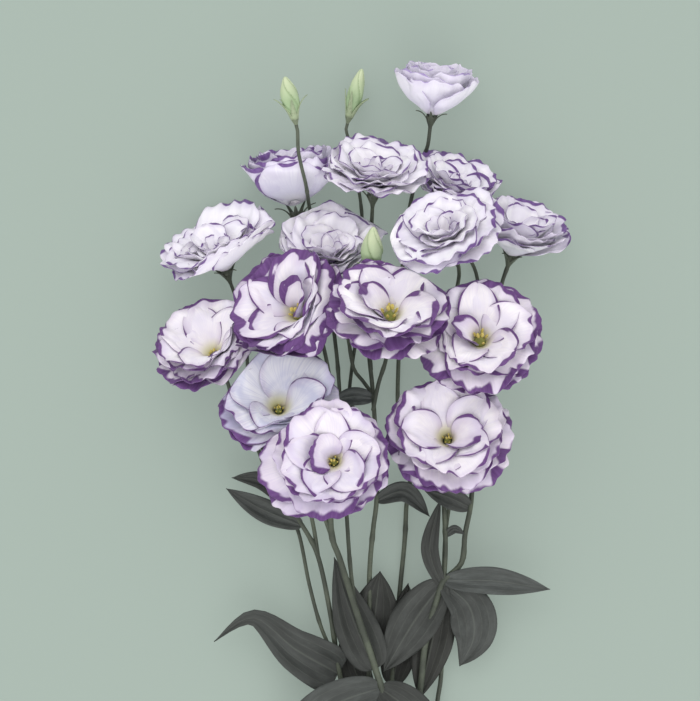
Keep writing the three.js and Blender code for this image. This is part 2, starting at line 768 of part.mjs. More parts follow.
const bunch = new THREE.Group();
bunch.name = "lisianthus";
bunch.position.set(0, -MIDDLE_Y, 0);
for (const name of Object.keys(HEADS)) {
  bunch.add(meshOf("bloom_" + name, fuse(corollaSolids(name)), PETAL));
}
for (const name of FULL) {
  bunch.add(meshOf("centre_" + name, centreSolid(HEADS[name]), THROAT));
}
for (const [name, bud] of Object.entries(BUDS)) {
  bunch.add(meshOf("bud_" + name, budSolid(bud), BUD));
}
for (const name of Object.keys(STEMS)) {
  bunch.add(meshOf("stem_" + name, fuse(stemSolids(name)), FOLIAGE));
}

export default bunch;
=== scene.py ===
import math

import bpy
import numpy as np
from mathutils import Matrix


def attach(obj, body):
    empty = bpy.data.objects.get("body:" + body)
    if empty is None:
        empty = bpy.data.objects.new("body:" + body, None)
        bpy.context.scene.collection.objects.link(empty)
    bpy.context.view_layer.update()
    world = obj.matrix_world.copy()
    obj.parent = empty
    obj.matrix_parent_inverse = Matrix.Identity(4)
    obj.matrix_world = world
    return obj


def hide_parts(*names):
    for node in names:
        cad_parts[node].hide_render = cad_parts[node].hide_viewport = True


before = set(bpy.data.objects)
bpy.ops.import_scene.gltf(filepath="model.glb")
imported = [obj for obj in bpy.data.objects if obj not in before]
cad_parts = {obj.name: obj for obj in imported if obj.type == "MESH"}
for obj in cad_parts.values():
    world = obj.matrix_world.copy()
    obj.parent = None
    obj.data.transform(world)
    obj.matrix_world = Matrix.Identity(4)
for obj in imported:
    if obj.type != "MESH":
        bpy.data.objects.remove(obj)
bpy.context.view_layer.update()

# Shapes are worked out in millimetres round the bunch's own centre, and ORIGIN moves them into
# the frame.
MM = 0.001
ORIGIN = np.array([0.0, 11.0, 0.0])

# Heads: base is the foot of the corolla, axis looks out of the throat, size is 1 for a head of
# about 70 mm, open is the tip angle of the outer petals in degrees, spin turns the head and seed
# starts its random draws.
HEAD_KEYS = ("base", "axis", "size", "open", "spin", "seed")
HEAD_ROWS = {
    "top": ((41, 190.5, 23), (0.12, 0.95, 0.26), 0.87, 22, 20, 11),
    "upper_left": ((-35.5, 136.5, 20), (-0.1, 0.98, 0.1), 1.1, 30, 0, 12),
    "upper_mid": ((8, 146.5, 27), (0.04, 0.86, 0.5), 0.98, 94, 35, 13),
    "upper_right": ((51, 141, 20), (0.24, 0.83, 0.5), 0.88, 94, 10, 14),
    "right_high": ((51, 115, 58), (-0.26, 0.71, 0.65), 0.98, 98, 50, 15),
    "far_right": ((86, 111.5, 22), (0.28, 0.86, 0.42), 0.94, 66, 25, 16),
    "far_left": ((-75, 103, 26), (-0.3, 0.84, 0.46), 0.96, 94, 5, 17),
    "mid_back": ((-16.5, 105, 25), (-0.05, 0.75, 0.66), 1.0, 96, 30, 18),
    "mid_left": ((-31.5, 76, 46), (-0.46, 0.44, 0.77), 1.05, 110, 15, 19),
    "mid": ((16.5, 73, 61), (0.06, 0.66, 0.75), 0.99, 108, 40, 20),
    "mid_right": ((67, 60.5, 54), (0.03, 0.48, 0.88), 0.96, 110, 22, 21),
    "left_low": ((-80, 52.5, 30), (-0.32, 0.7, 0.64), 0.92, 106, 48, 22),
    "low_left": ((-45, 22.5, 40), (0, 0.54, 0.84), 0.99, 104, 33, 23),
    "lowest": ((-13.5, -5, 64), (-0.14, 0.26, 0.95), 0.93, 110, 12, 24),
    "low_right": ((49.5, 6, 48), (0, 0.45, 0.89), 1.0, 110, 28, 25),
}
HEADS = {name: dict(zip(HEAD_KEYS, row)) for name, row in HEAD_ROWS.items()}

# Heads that hold a centre: seen face on, or nearly so.
FULL = ["right_high", "mid_left", "mid", "mid_right", "left_low", "low_left", "lowest", "low_right"]

# Which way the outer petals hang longer, as an x, y direction.
SAG = {
    "lowest": (-0.15, -0.03),
    "mid_left": (-0.18, 0.06),
    "mid_back": (-0.04, 0.05),
    "far_left": (0.09, 0.05),
    "right_high": (-0.07, -0.14),
    "mid_right": (-0.12, -0.06),
    "low_right": (0.02, -0.03),
}

# Where two heads lean on each other: front, back, how far the plane between them is laid back
# in degrees, and how far it sits towards the back one.
LEANS = [
    ("mid", "mid_left", 62, 6.5),
    ("mid", "mid_right", 40, 2),
    ("mid", "mid_back", 60, 4),
    ("mid", "right_high", 10, -3),
    ("mid_left", "mid_back", 50, 0),
    ("mid_left", "far_left", 45, 10),
    ("mid_left", "left_low", 45, 5.5),
    ("mid_left", "low_left", 10, 0),
    ("mid_right", "right_high", 0, 0),
    ("mid_right", "low_right", 20, 2),
    ("mid_right", "far_right", 50, 0),
    ("right_high", "upper_right", 60, 0),
    ("right_high", "far_right", 55, 0),
    ("right_high", "mid_back", 50, 3),
    ("right_high", "upper_mid", 50, 0),
    ("upper_mid", "upper_left", 30, 0),
    ("upper_mid", "upper_right", 30, 0),
    ("upper_mid", "mid_back", 0, 0),
    ("upper_left", "mid_back", 0, -7),
    ("far_left", "mid_back", 20, 5),
    ("far_left", "upper_left", 0, 9),
    ("far_left", "left_low", 0, 0),
    ("left_low", "low_left", 0, 0),
    ("lowest", "low_left", 55, 6),
    ("lowest", "low_right", 25, -2),
    ("lowest", "mid", 0, 0),
    ("mid", "low_left", 20, 0),
    ("mid", "low_right", 20, 0),
    ("upper_right", "far_right", 0, 0),
    ("upper_right", "top", 0, 0),
]

# Stems and buds that pass close by push a few petals aside, as (direction, limit in mm).
PUSHED = {
    "right_high": [((-0.9, 0.43, 0), 37.9), ((-0.94, -0.34, 0), -55.9)],
    "upper_left": [((0, -0.81, 0.58), -102.5), ((0, 0, 1), 43.5)],
    "mid_back": [((0.8, -0.3, 0.5), -9.4), ((-0.5, 0.25, -0.83), 31)],
    "mid": [((0, 0.5, -0.87), -0.8)],
}

# How far, in mm, a head may reach past the plane between it and a second one.
EASE = {("right_high", "mid"): 6, ("mid", "right_high"): 1.5}

# How far in front of its foot a head's rim lies, for a head of size 1.
RIM_HEIGHT = 16
# How far petals stay off the surface below and off the plane towards another head, and over
# what distance they are eased back.
FLOOR_CLEAR = 0.4
LEAN_CLEAR = 0.4
LEAN_SOFT = 4


def unit(a):
    a = np.asarray(a, float)
    return a / np.linalg.norm(a)


def vector(*parts):
    return np.stack(np.broadcast_arrays(*parts), -1)


def frame_of(axis, spin):
    """Rows u, v, w of a frame whose w looks along the axis."""
    w = unit(axis)
    # No axis lies along this direction.
    side = unit(np.cross([0.2, 1, 0.1], w))
    up = np.cross(w, side)
    turn = math.radians(spin)
    u = side * math.cos(turn) + up * math.sin(turn)
    return np.array([u, np.cross(w, u), w])


def rim_centre(head):
    return np.array(head["base"]) + unit(head["axis"]) * RIM_HEIGHT * head["size"]


def planes_for(name):
    """The planes that keep a head's petals on its own side, as (n, limit): n . p < limit."""
    planes = [(np.array([0, 0, -1.0]), -FLOOR_CLEAR)]
    for front, back, tilt, give in LEANS:
        if name not in (front, back):
            continue
        a = rim_centre(HEADS[back])
        b = rim_centre(HEADS[front])
        flat = unit([b[0] - a[0], b[1] - a[1], 0])
        share = HEADS[back]["size"] / (HEADS[back]["size"] + HEADS[front]["size"])
        at = a + (b - a) * share
        n = flat * math.cos(math.radians(tilt))
        n[2] = math.sin(math.radians(tilt))
        level = n @ at - give
        side, other = (1, front) if back == name else (-1, back)
        ease = EASE.get((name, other), 0)
        planes.append((side * n, side * level - LEAN_CLEAR + ease))
    for n, limit in PUSHED.get(name, []):
        planes.append((np.array(n), limit))
    return planes


def press(points, planes):
    """Presses points softly back to their side of every plane."""
    for soft in (LEAN_SOFT, LEAN_SOFT / 2, LEAN_SOFT / 4):
        for n, limit in planes:
            t = points @ n
            over = np.maximum(t - (limit - soft), 0)
            target = limit - soft * np.exp(-over / soft)
            points = points + np.where(over > 0, target - t, 0)[..., None] * n
    return points


def ramp(x, low, high):
    """0 below low, 1 above high, smooth between."""
    t = np.clip((x - low) / (high - low), 0, 1)
    return t * t * (3 - 2 * t)


# Layers of petals from the outermost in, for a head of size 1: how many, their length and half
# width, the angle from the axis at the foot, how far the tip angle stays under the head's own,
# how much the sides cup inwards, the height of the margin's waves, where the layer starts round
# the head in degrees, how wide its coloured margin is, and how deep its broad folds are (pleat).
LAYER_KEYS = ("count", "length", "half", "foot", "less", "cup", "ruffle", "start", "edge", "pleat")


def as_layers(*rows):
    return [dict(zip(LAYER_KEYS, row)) for row in rows]


FULL_LAYERS = as_layers(
    (5, 34.5, 24, 60, -2, -1.0, 2.9, 0, 2.5),
    (5, 36, 25, 53, 8, -0.5, 3.1, 38, 2.1),
    (5, 37, 25, 44, 20, 0.5, 2.6, 12, 1.4),
    (5, 37, 25, 30, 33, 1.0, 2.0, 50, 0.9),
)
PLAIN_LAYERS = as_layers(
    (5, 34.5, 24, 60, -2, -1.0, 2.6, 0, 2.1),
    (5, 37, 25, 52, 10, -0.5, 2.4, 38, 1.7),
    (4, 38, 31, 33, 30, 1.0, 1.8, 10, 0.9),
)
SIDE_LAYERS = as_layers(
    (5, 37.5, 26, 46, 0, -0.5, 2.2, 0, 1.3),
    (5, 36, 25, 41, 10, 0, 2.2, 36, 1.0),
    (4, 32.5, 24, 33, 22, 0.5, 2.0, 12, 0.7),
    (3, 27, 20, 24, 36, 1.5, 1.7, 50, 0.5),
    (3, 19, 14, 14, 56, 2.5, 1.3, 20, 0.4),
)
BELL_LAYERS = as_layers(
    (4, 37.5, 29, 56, 10, 0, 2.0, 0, 1.3),
    (4, 37, 27, 47, 17, 0.5, 1.9, 45, 1.0),
    (4, 34, 23, 36, 25, 1, 1.7, 15, 0.8),
    (3, 28, 18, 24, 36, 1.5, 1.5, 60, 0.5),
)
CUP_LAYERS = as_layers(
    (4, 36, 26, 61, 0, 0.5, 1.7, 0, 0.8, 1.0),
    (4, 37, 25, 52, 2, 0.5, 1.9, 45, 0.8, 0.6),
    (4, 35, 22, 41, 7, 1, 1.8, 15, 0.7),
    (3, 32, 18, 26, 12, 1.5, 1.5, 60, 0.6),
)

# The kinds of head: their layers, and how deep the petals' narrow folds are (frill).
FULL_KIND = (FULL_LAYERS, 0.35)
PLAIN_KIND = (PLAIN_LAYERS, 0.3)
SIDE_KIND = (SIDE_LAYERS, 0.65)
BELL_KIND = (BELL_LAYERS, 0.5)
CUP_KIND = (CUP_LAYERS, 0.35)
# Heads that aren't of the usual kind, which is full with a centre and side without.
KINDS = {
    "low_left": PLAIN_KIND,
    "right_high": SIDE_KIND,
    "top": CUP_KIND,
    "upper_left": CUP_KIND,
    "far_right": BELL_KIND,
}

# Single petals inside the bowl: which way they stand in the bunch, and their own shape.
INNER = {
    "lowest": [dict(way=(-0.75, 0.5), length=24, half=13, foot=14, tip=38, cup=-4.5, edge=1.1)],
    "mid_left": [dict(way=(0.6, 0.4), length=25, half=14, foot=16, tip=40, cup=1.5, edge=1.0)],
    "low_right": [dict(way=(0.8, -0.3), length=27, half=13, foot=20, tip=62, cup=1.5, edge=1.5)],
    "mid_right": [dict(way=(-0.9, 0.1), length=26, half=12, foot=18, tip=50, cup=2, edge=1.3)],
    "mid": [dict(way=(-0.9, 0.3), length=28, half=13, foot=20, tip=58, cup=1.5, edge=1.3)],
}
INNER_RUFFLE = 1.6
INNER_FRILL = 0.3

# The claw is a petal's narrow foot: half its width, and how far it stands off the head's axis.
CLAW = 1.6
CLAW_RADIUS = 2.2
# Petals wrap round the axis no tighter than this.
WRAP_RADIUS = 4.0
# How far petals turn on their way out, in radians, and how far one side lies over the next petal.
TWIST = 0.12
LAP = 0.5
# Where along a petal it is widest.
WIDEST = 0.72
PETAL_THICKNESS = 0.34
# Added to the seed on a petal's outer face, so that its colour can differ.
OUTER_FACE = 2.0
# How many steps across a petal, and points along it.
ACROSS = 30
ALONG = 22
# Spreads the heads' seeds.
SEED_STEP = 7919


def petal_list(name):
    """Every petal of a head, outermost first, with its own small differences."""
    head = HEADS[name]
    size = head["size"]
    draw = np.random.default_rng(head["seed"] * SEED_STEP)
    rows = frame_of(head["axis"], head["spin"])
    layers, frill = KINDS.get(name, FULL_KIND if name in FULL else SIDE_KIND)
    common = draw.uniform(0, 2 * math.pi, 3)
    petals = []

    def petal(turn, shape, depth, hang):
        return dict(
            turn=turn,
            length=shape["length"] * size * (1 + draw.normal(0, 0.03) + hang),
            half=shape["half"] * size * (1 + draw.normal(0, 0.05)),
            foot=shape["foot"],
            tip=shape["tip"] + draw.normal(0, 1.5) + hang * 20,
            radius=CLAW_RADIUS * size,
            lift=(0.5 + 1.6 * depth) * size,
            cup=(shape["cup"] + draw.normal(0, 0.3)) * size,
            ruffle=shape.get("ruffle", INNER_RUFFLE) * size * (1 + draw.normal(0, 0.12)),
            lean=draw.normal(0, 0.4) * size,
            pleat=shape.get("pleat", 0.0) * size,
            frill=shape.get("frill", INNER_FRILL) * size,
            edge=shape["edge"] * size * draw.uniform(0.85, 1.15),
            phases=draw.uniform(0, 2 * math.pi, 8),
            waves=draw.uniform(0.85, 1.2, 4),
            common=common,
            seed=draw.uniform(0, 1),
            size=size,
        )

    sag = SAG.get(name, (0, 0))
    for number, layer in enumerate(layers):
        count = layer["count"]
        inner = layers[min(number + 1, len(layers) - 1)]
        for k in range(count):
            # Petals follow each other two places on, and each stands a little closer to the axis.
            place = 2 * k % count + (2 * k // count if count % 2 == 0 else 0)
            turn = math.radians(layer["start"] + 360 / count * place + draw.normal(0, 5))
            foot = layer["foot"] + (inner["foot"] - layer["foot"]) * k / count
            less = layer["less"] + (inner["less"] - layer["less"]) * k / count
            out = rows[0] * math.cos(turn) + rows[1] * math.sin(turn)
            # The two outermost layers hang longer to one side.
            hang = max(0.0, out[0] * sag[0] + out[1] * sag[1]) * 2 if number < 2 else 0.0
            shape = dict(layer, foot=foot, tip=head["open"] - less, frill=frill)
            petals.append(petal(turn, shape, (number + k / count) / len(layers), hang))
    for shape in INNER.get(name, []):
        way = np.array([*shape["way"], 0.0])
        petals.append(petal(math.atan2(way @ rows[1], way @ rows[0]), shape, 1.0, 0.0))
    return petals


def petal_blade(petal, u, v):
    """The flat blade: how far along it a point lies, how far across, and half the width there."""
    phases = petal["phases"]
    # Rounded on a narrow claw, its margin a little uneven.
    notch = 0.018 * np.sin(9 * u + phases[0]) + 0.014 * np.sin(17 * u + phases[1])
    reach = 1 - 0.15 * np.abs(u) ** 3.2 + notch * ramp(v, 0.5, 1)
    s = petal["length"] * v * (1 - (1 - reach) * v**2)
    rise = np.sin(math.pi / 2 * np.minimum(1, v / WIDEST)) ** 1.15
    past = np.maximum(0, (v - WIDEST) / (1 - WIDEST))
    claw = CLAW * petal["size"]
    half = claw + (petal["half"] - claw) * rise * (1 - 0.13 * past**2.5)
    return s, u * half, half


def petal_profile(petal, share):
    """The radius, the height and the angle from the axis at shares of a petal's length. It bends
    evenly from the foot angle to the tip angle, and more at the very end."""
    fine = np.linspace(0, 1.15, 70)
    bend = 0.85 * fine + 0.15 * fine**3
    angle = np.radians(petal["foot"] + (petal["tip"] - petal["foot"]) * bend)
    step = (fine[1] - fine[0]) * petal["length"]
    radius = petal["radius"] + np.concatenate([[0], np.cumsum(np.sin(angle[:-1]) * step)])
    height = petal["lift"] + np.concatenate([[0], np.cumsum(np.cos(angle[:-1]) * step)])
    return [np.interp(share, fine, line) for line in (radius, height, angle)]


def wave(x, length, phase):
    return np.sin(2 * math.pi * x / length + phase)


def petal_relief(petal, u, v, s, x, curl):
    """How far a petal stands off its plain profile, towards the axis."""
    size = petal["size"]
    phases = petal["phases"]
    waves = petal["waves"]
    # Waves of the margin.
    lift = petal["ruffle"] * ramp(v, 0.5, 1.0) * curl
    side = np.abs(u) ** 3 * ramp(v, 0.25, 0.8)
    lift += petal["ruffle"] * side * 0.35 * wave(s, 13 * waves[2] * size, phases[4] + u)
    # A cupped or bent-back blade, one side laid over the next petal, and a soft swell.
    lift += petal["cup"] * u**2 * ramp(v, 0.1, 0.8)
    lift += (LAP * size * u + petal["lean"]) * ramp(v, 0.1, 0.9)
    swell = np.sin(0.11 * x / size + phases[5]) * np.sin(0.13 * s + phases[6])
    lift += 1.1 * size * ramp(v, 0.15, 0.6) * swell
    # Narrow folds that deepen towards the margin, broad ones, and a shallow groove down the
    # middle of the blade.
    narrow = wave(x, 8.5 * waves[3] * size, phases[1] + 1.5 * v)
    lift += petal["frill"] * narrow * ramp(v, 0.3, 0.95)
    broad = np.sin(5.5 * u + phases[7]) * ramp(v, 0.2, 0.5) * (1 - 0.6 * ramp(v, 0.7, 1))
    lift += petal["pleat"] * broad
    groove = np.exp(-((u / 0.16) ** 2)) * ramp(v, 0.15, 0.5) * (1 - ramp(v, 0.75, 1))
    return lift - 0.7 * size * groove


def petal_points(petal, u, v):
    """The middle surface of a petal at u across (-1 to 1) and v along (0 to 1), in the head's
    frame, with the distance to its margin, the place across it in mm and the margin's waves."""
    size = petal["size"]
    phases = petal["phases"]
    waves = petal["waves"]
    common = petal["common"]
    s, x, half = petal_blade(petal, u, v)
    radius, height, angle = petal_profile(petal, s / petal["length"])
    around = petal["turn"] + TWIST * v + x / np.maximum(radius, WRAP_RADIUS)
    # Part of the waves runs right round the head, so that the layers nest in each other.
    curl = 0.35 * np.sin(6 * around + common[0]) + 0.18 * np.sin(11 * around + common[1])
    curl += 0.42 * wave(x, 21 * waves[0] * size, phases[2])
    curl += 0.2 * wave(x, 9.5 * waves[1] * size, phases[3])
    lift = petal_relief(petal, u, v, s, x, curl)
    radius = radius - lift * np.cos(angle)
    height = height + lift * np.sin(angle)
    points = vector(radius * np.cos(around), radius * np.sin(around), height)
    to_tip = (1 - v) * petal["length"] * (0.9 - 0.35 * np.abs(u) ** 3)
    rim = np.minimum((1 - np.abs(u)) * half, to_tip)
    return points, rim, x, curl


def grid_normals(points):
    across = np.gradient(points, axis=1)
    along = np.gradient(points, axis=0)
    n = np.cross(across, along)
    return n / np.maximum(np.linalg.norm(n, axis=-1, keepdims=True), 1e-9)


class MeshParts:
    """Gathers closed parts with point attributes into one mesh."""

    def __init__(self):
        self.points = []
        self.faces = []
        self.values = {}
        self.total = 0

    def add(self, points, faces, **values):
        self.points.append(points)
        self.faces.extend(tuple(i + self.total for i in face) for face in faces)
        for key, value in values.items():
            self.values.setdefault(key, []).append(value)
        self.total += len(points)

    def sheet(self, grid, thickness, **values):
        """A closed sheet round a grid of points, of a thickness that may vary over the grid. A
        value is a vector or a grid of them, and a pair has one for each face."""
        rows, columns = grid.shape[:2]
        n = grid_normals(grid) * np.asarray(thickness)[..., None] / 2
        count = rows * columns
        index = np.arange(count).reshape(rows, columns)
        a = index[:-1, :-1].ravel()
        b = index[:-1, 1:].ravel()
        c = index[1:, 1:].ravel()
        d = index[1:, :-1].ravel()
        faces = list(zip(a, b, c, d))
        faces += list(zip(d + count, c + count, b + count, a + count))
        edge = list(index[0]) + list(index[1:, -1]) + list(index[-1, -2::-1]) + list(index[-2:0:-1, 0])
        for i, j in zip(edge, edge[1:] + edge[:1]):
            faces.append((j, i, i + count, j + count))
        both = {}
        for key, value in values.items():
            pair = value if isinstance(value, tuple) else (value, value)
            both[key] = np.concatenate([np.broadcast_to(face, grid.shape).reshape(-1, 3) for face in pair])
        self.add(np.concatenate([(grid + n).reshape(-1, 3), (grid - n).reshape(-1, 3)]), faces, **both)

    def rings(self, rings, **values):
        """A closed body round a stack of rings."""
        count, sides = rings.shape[:2]
        faces = []
        for i in range(count - 1):
            for k in range(sides):
                a = i * sides + k
                b = i * sides + (k + 1) % sides
                faces.append((a, b, b + sides, a + sides))
        faces.append(tuple(range(sides - 1, -1, -1)))
        faces.append(tuple((count - 1) * sides + k for k in range(sides)))
        flat = {key: np.broadcast_to(value, rings.shape).reshape(-1, 3) for key, value in values.items()}
        self.add(rings.reshape(-1, 3), faces, **flat)

    def build(self, name, material, replaced):
        """Makes the piece, which takes the place of the replaced node."""
        mesh = bpy.data.meshes.new(name)
        points = (np.concatenate(self.points) + ORIGIN) * MM
        mesh.from_pydata(points.tolist(), [], [tuple(int(i) for i in face) for face in self.faces])
        for key, parts in self.values.items():
            data = np.concatenate(parts).astype(np.float32)
            layer = mesh.attributes.new(key, "FLOAT_VECTOR", "POINT")
            layer.data.foreach_set("vector", data.ravel())
        mesh.materials.append(material)
        mesh.shade_smooth()
        piece = bpy.data.objects.new(name, mesh)
        bpy.context.scene.collection.objects.link(piece)
        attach(piece, "root")
        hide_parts(replaced)


def make_bloom(name, material):
    head = HEADS[name]
    rows = frame_of(head["axis"], head["spin"])
    planes = planes_for(name)
    v, u = np.meshgrid(np.linspace(0.02, 1, ALONG), np.linspace(-1, 1, ACROSS + 1), indexing="ij")
    # Points gather towards the margin, where the waves are.
    v = v ** 0.85
    u = np.sign(u) * np.abs(u) ** 0.9
    parts = MeshParts()
    for petal in petal_list(name):
        points, rim, x, curl = petal_points(petal, u, v)
        placed = press(points @ rows + np.array(head["base"]), planes)
        # Thin at the margin and stout at the claw.
        thickness = PETAL_THICKNESS * (0.55 + 0.45 * ramp(rim, 0, 4))
        thickness = thickness * (1 + 1.5 * (1 - ramp(v, 0, 0.3)))
        parts.sheet(
            placed,
            thickness,
            blade=(vector(u, v, petal["seed"] + OUTER_FACE), vector(u, v, petal["seed"])),
            margin=vector(rim / petal["edge"], x / head["size"], curl),
        )
    parts.build("petals_" + name, material, "bloom_" + name)


# Stems: lines of points with the radius at the foot and at the end, and the head or bud that
# each line ends in.
STEMS = {
    "left": [
        (
            [(2.4, -238, 1.5), (2.4, -205, 1.6), (-5, -149, 6), (-11, -125, 8),
             (-16, -92, 11), (-23, -59, 14), (-32, -41, 16), (-41, -29, 15),
             (-51, -12, 13), (-61, 11, 11), (-71, 29, 10)],
            (1.5, 1.5, 1.3, 1.1), "left_low",
        ),
        ([(-23, -59, 14), (-26, -40, 15), (-31, -20, 17), (-38, 0, 19)], (1.2, 1.1), "low_left"),
        (
            [(-12, -119, 8.5), (-21, -100, 9), (-28, -75, 9), (-34, -46, 9),
             (-42, -28, 8), (-52, -5, 7), (-60, 20, 6), (-63, 45, 6), (-64, 68, 8)],
            (1.1, 1), "far_left",
        ),
    ],
    "centre_left": [
        (
            [(7.8, -232, 4.7), (7.8, -205, 4.9), (16, -152, 12), (9, -121, 16),
             (1, -97, 19), (-6, -75, 21), (-11, -59, 22), (-15, -48, 23),
             (-16, -33, 26), (-15, -17, 33)],
            (2, 2, 1.8, 1.4), "lowest",
        ),
        ([(-15, -48, 23), (-21, -26, 24), (-19, 8, 24), (-16, 36, 24)], (1.4, 1.1), "mid_left"),
        (
            [(-2, -88, 19.5), (-5, -63, 16), (-7, -34, 14), (-9, -3, 10),
             (-11, 35, 7.5), (-13, 59, 6.5), (-17, 86, 5.5), (-24, 106, 5)],
            (1.2, 1.1), "upper_left",
        ),
        (
            [(-17, 86, 5.5), (-22, 112, 4), (-26, 130, 5), (-28, 139, 16),
             (-29, 146, 33), (-30, 152, 43), (-32, 160, 48), (-34, 170, 49)],
            (1.1, 1), "left",
        ),
    ],
    "centre": [
        (
            [(5.7, -240, 1.5), (5.7, -205, 1.6), (5, -149, 4), (6, -115, 7),
             (6, -70, 9), (8, -44, 10), (10, -27, 11), (10, -3, 11), (8, 33, 11),
             (6, 53, 10), (4, 81, 8), (6, 105, 7)],
            (1.5, 1.5, 1.3, 1.1), "upper_mid",
        ),
        ([(8, 24, 11), (11, 39, 16), (15, 52, 28)], (1.2, 1.1), "mid"),
        ([(7, 47, 10), (5, 70, 16), (4, 84, 28)], (1.1, 1), "low"),
        ([(8, 33, 11), (2, 41, 11), (-3, 48, 11), (-6, 64, 11), (-10, 80, 10)], (1.1, 1), "mid_back"),
        (
            [(9, 6, 11), (2, 17, 9), (-5, 30, 6), (-4, 48, 5), (-1, 69, 4),
             (1, 97, 3), (2, 125, 3), (1, 142, 3), (-2, 159, 3), (-5, 174, 8)],
            (1.1, 0.9), "middle",
        ),
    ],
    "top": [
        (
            [(9.9, -235, 1.5), (9.9, -205, 1.5), (17, -149, 2.5), (23, -81, 3.5),
             (26, -50, 4), (27, -30, 4), (29, -17, 4), (25, 8, 4), (22, 30, 4),
             (24, 86, 4), (25, 109, 4), (27, 128, 4), (30, 145, 4), (33, 156, 5),
             (36, 166, 8)],
            (1.5, 1.4, 1.2, 1.1), "top",
        ),
    ],
    "right": [
        (
            [(12, -239, 4.6), (12, -205, 4.8), (27, -160, 9), (34, -138, 11),
             (38, -105, 14), (45, -80, 16), (48, -72, 16), (58, -62, 16),
             (60, -46, 16), (63, -31, 16), (64, -21, 15), (66, 2, 14),
             (70, 30, 13), (74, 58, 11), (78, 80, 9)],
            (1.9, 1.8, 1.4, 1.1), "far_right",
        ),
        (
            [(48, -72, 16), (49, -53, 16), (48, -27, 16), (48, -9, 15),
             (48, 20, 15), (50, 50, 16), (52, 76, 22)],
            (1.4, 1.1), "right_high",
        ),
        ([(48, -27, 16), (50, -15, 20)], (1.2, 1.1), "low_right"),
        ([(70, 30, 13), (72, 41, 20)], (1.2, 1.1), "mid_right"),
    ],
    "right_back": [
        (
            [(14.1, -230, 1.3), (14.1, -205, 1.4), (40, -160, 3), (45, -138, 4),
             (47, -120, 5), (48, -76, 6), (49, -48, 6), (52, -26, 6), (58, 2, 6),
             (62, 30, 6), (66, 64, 5), (68, 89, 4), (64, 108, 4)],
            (1.3, 1.3, 1.1, 1), "upper_right",
        ),
    ],
}

# Buds: base is the foot of the rolled petals, tip their point and sepal the sepals' length.
BUDS = {
    "left": dict(base=(-36.4, 189.5, 48), tip=(-41.4, 211, 51), radius=5.6, sepal=15),
    "middle": dict(base=(-5, 192, 12), tip=(1.7, 217.3, 14), radius=4.9, sepal=16),
    "low": dict(base=(6.5, 102, 51), tip=(8, 126.5, 66), radius=6.6, sepal=12),
}
# How large a bud's green cup is, against that of a head of size 1.
BUD_SIZE = 0.72

# Leaves: stem, midrib from root to tip, half width, how deep it folds, over 1 for a belly nearer
# the root, and its tone from 0 for dark to 1 for pale. The tone is partly the leaf's own and partly
# painted light: a leaf that lies in shade is made paler.
LEAVES = [
    ("left", [(-32, -41, 16), (-54, -32, 18), (-75, -20, 20)], 6.5, 0.25, 1, 0.5),
    ("left", [(-41, -29, 15), (-54, -16, 17), (-72, -14, 15)], 5, 0.3, 1, 0.3),
    ("left", [(-12, -125, 8), (-36, -111, 14), (-60, -93, 17), (-82, -107, 9)], 13.5, 0.4, 2.4, 0.45),
    ("centre_left", [(12, -133, 14.5), (-12, -141, 22), (-50, -164, 12)], 12.5, 0.3, 1, 0.65),
    ("centre_left", [(12, -133, 14.5), (29, -146, 21), (46, -172, 12)], 12, 0.3, 1, 0.35),
    ("centre_left", [(9, -122, 16), (-4, -92, 13), (-14, -59, 13)], 12, 0.2, 1.4, 0.3),
    ("centre", [(6, -116, 7), (9, -93, 8.5), (12, -67, 10)], 13.5, 0.15, 1, 0.15),
    ("centre", [(5.3, -140, 4.8), (-3, -121, 4.6), (-8, -98, 6)], 8.5, 0.1, 1, 0.1),
    ("centre", [(10, -27, 11), (26, -22, 14), (40, -36, 12)], 5.5, 0.35, 1, 0.5),
    # Made paler as painted light, since it lies in shade.
    ("centre", [(8, 31, 11), (-4, 32, 14), (-16, 29, 13)], 5, 0.3, 1, 0.95),
    ("right", [(48, -73, 16), (32, -94, 14.5), (14, -124, 12)], 13, 0.2, 1, 0.35),
    ("right", [(47, -77, 15), (42, -104, 10.5), (34, -140, 8.2)], 11.5, 0.1, 1, 0.05),
    ("right", [(48, -72, 16), (76, -72, 20), (108, -77, 19)], 7.5, 0.35, 1, 0.75),
    ("right", [(47, -73, 16), (62, -86, 15), (65, -104, 12), (57, -121, 9)], 12.7, 0.3, 0.85, 0.5),
    ("right", [(47, -75, 16), (40, -54, 19), (46, -26, 20)], 4.8, 0.3, 1, 0.25),
    ("right", [(49, -47, 16), (54, -43, 17.5), (60, -46, 17)], 2.4, 0.2, 1, 0.5),
    ("right", [(63, -31, 16), (51, -25, 20), (36, -20, 19)], 6, 0.3, 1, 0.4),
    ("top", [(19, -132, 2.7), (24, -104, 5), (28, -74, 6.5)], 10.5, 0.1, 1, 0.05),
]


def smooth_line(points, step):
    """A Catmull-Rom line through points, cut into short steps of about the given length."""
    points = np.array(points, float)
    out = []
    for i in range(len(points) - 1):
        p0 = points[max(i - 1, 0)]
        p1 = points[i]
        p2 = points[i + 1]
        p3 = points[min(i + 2, len(points) - 1)]
        count = max(1, round(float(np.linalg.norm(p2 - p1)) / step))
        for t in np.arange(count) / count:
            w0 = ((2 - t) * t - 1) * t * 0.5
            w1 = ((3 * t - 5) * t * t + 2) * 0.5
            w2 = ((4 - 3 * t) * t + 1) * t * 0.5
            w3 = (t - 1) * t * t * 0.5
            out.append(p0 * w0 + p1 * w1 + p2 * w2 + p3 * w3)
    out.append(points[-1])
    return np.array(out)


def directions(line):
    """The unit direction of a line at each of its points."""
    ahead = np.gradient(line, axis=0)
    return ahead / np.linalg.norm(ahead, axis=1, keepdims=True)


def circle(sides):
    return np.arange(sides) / sides * 2 * math.pi


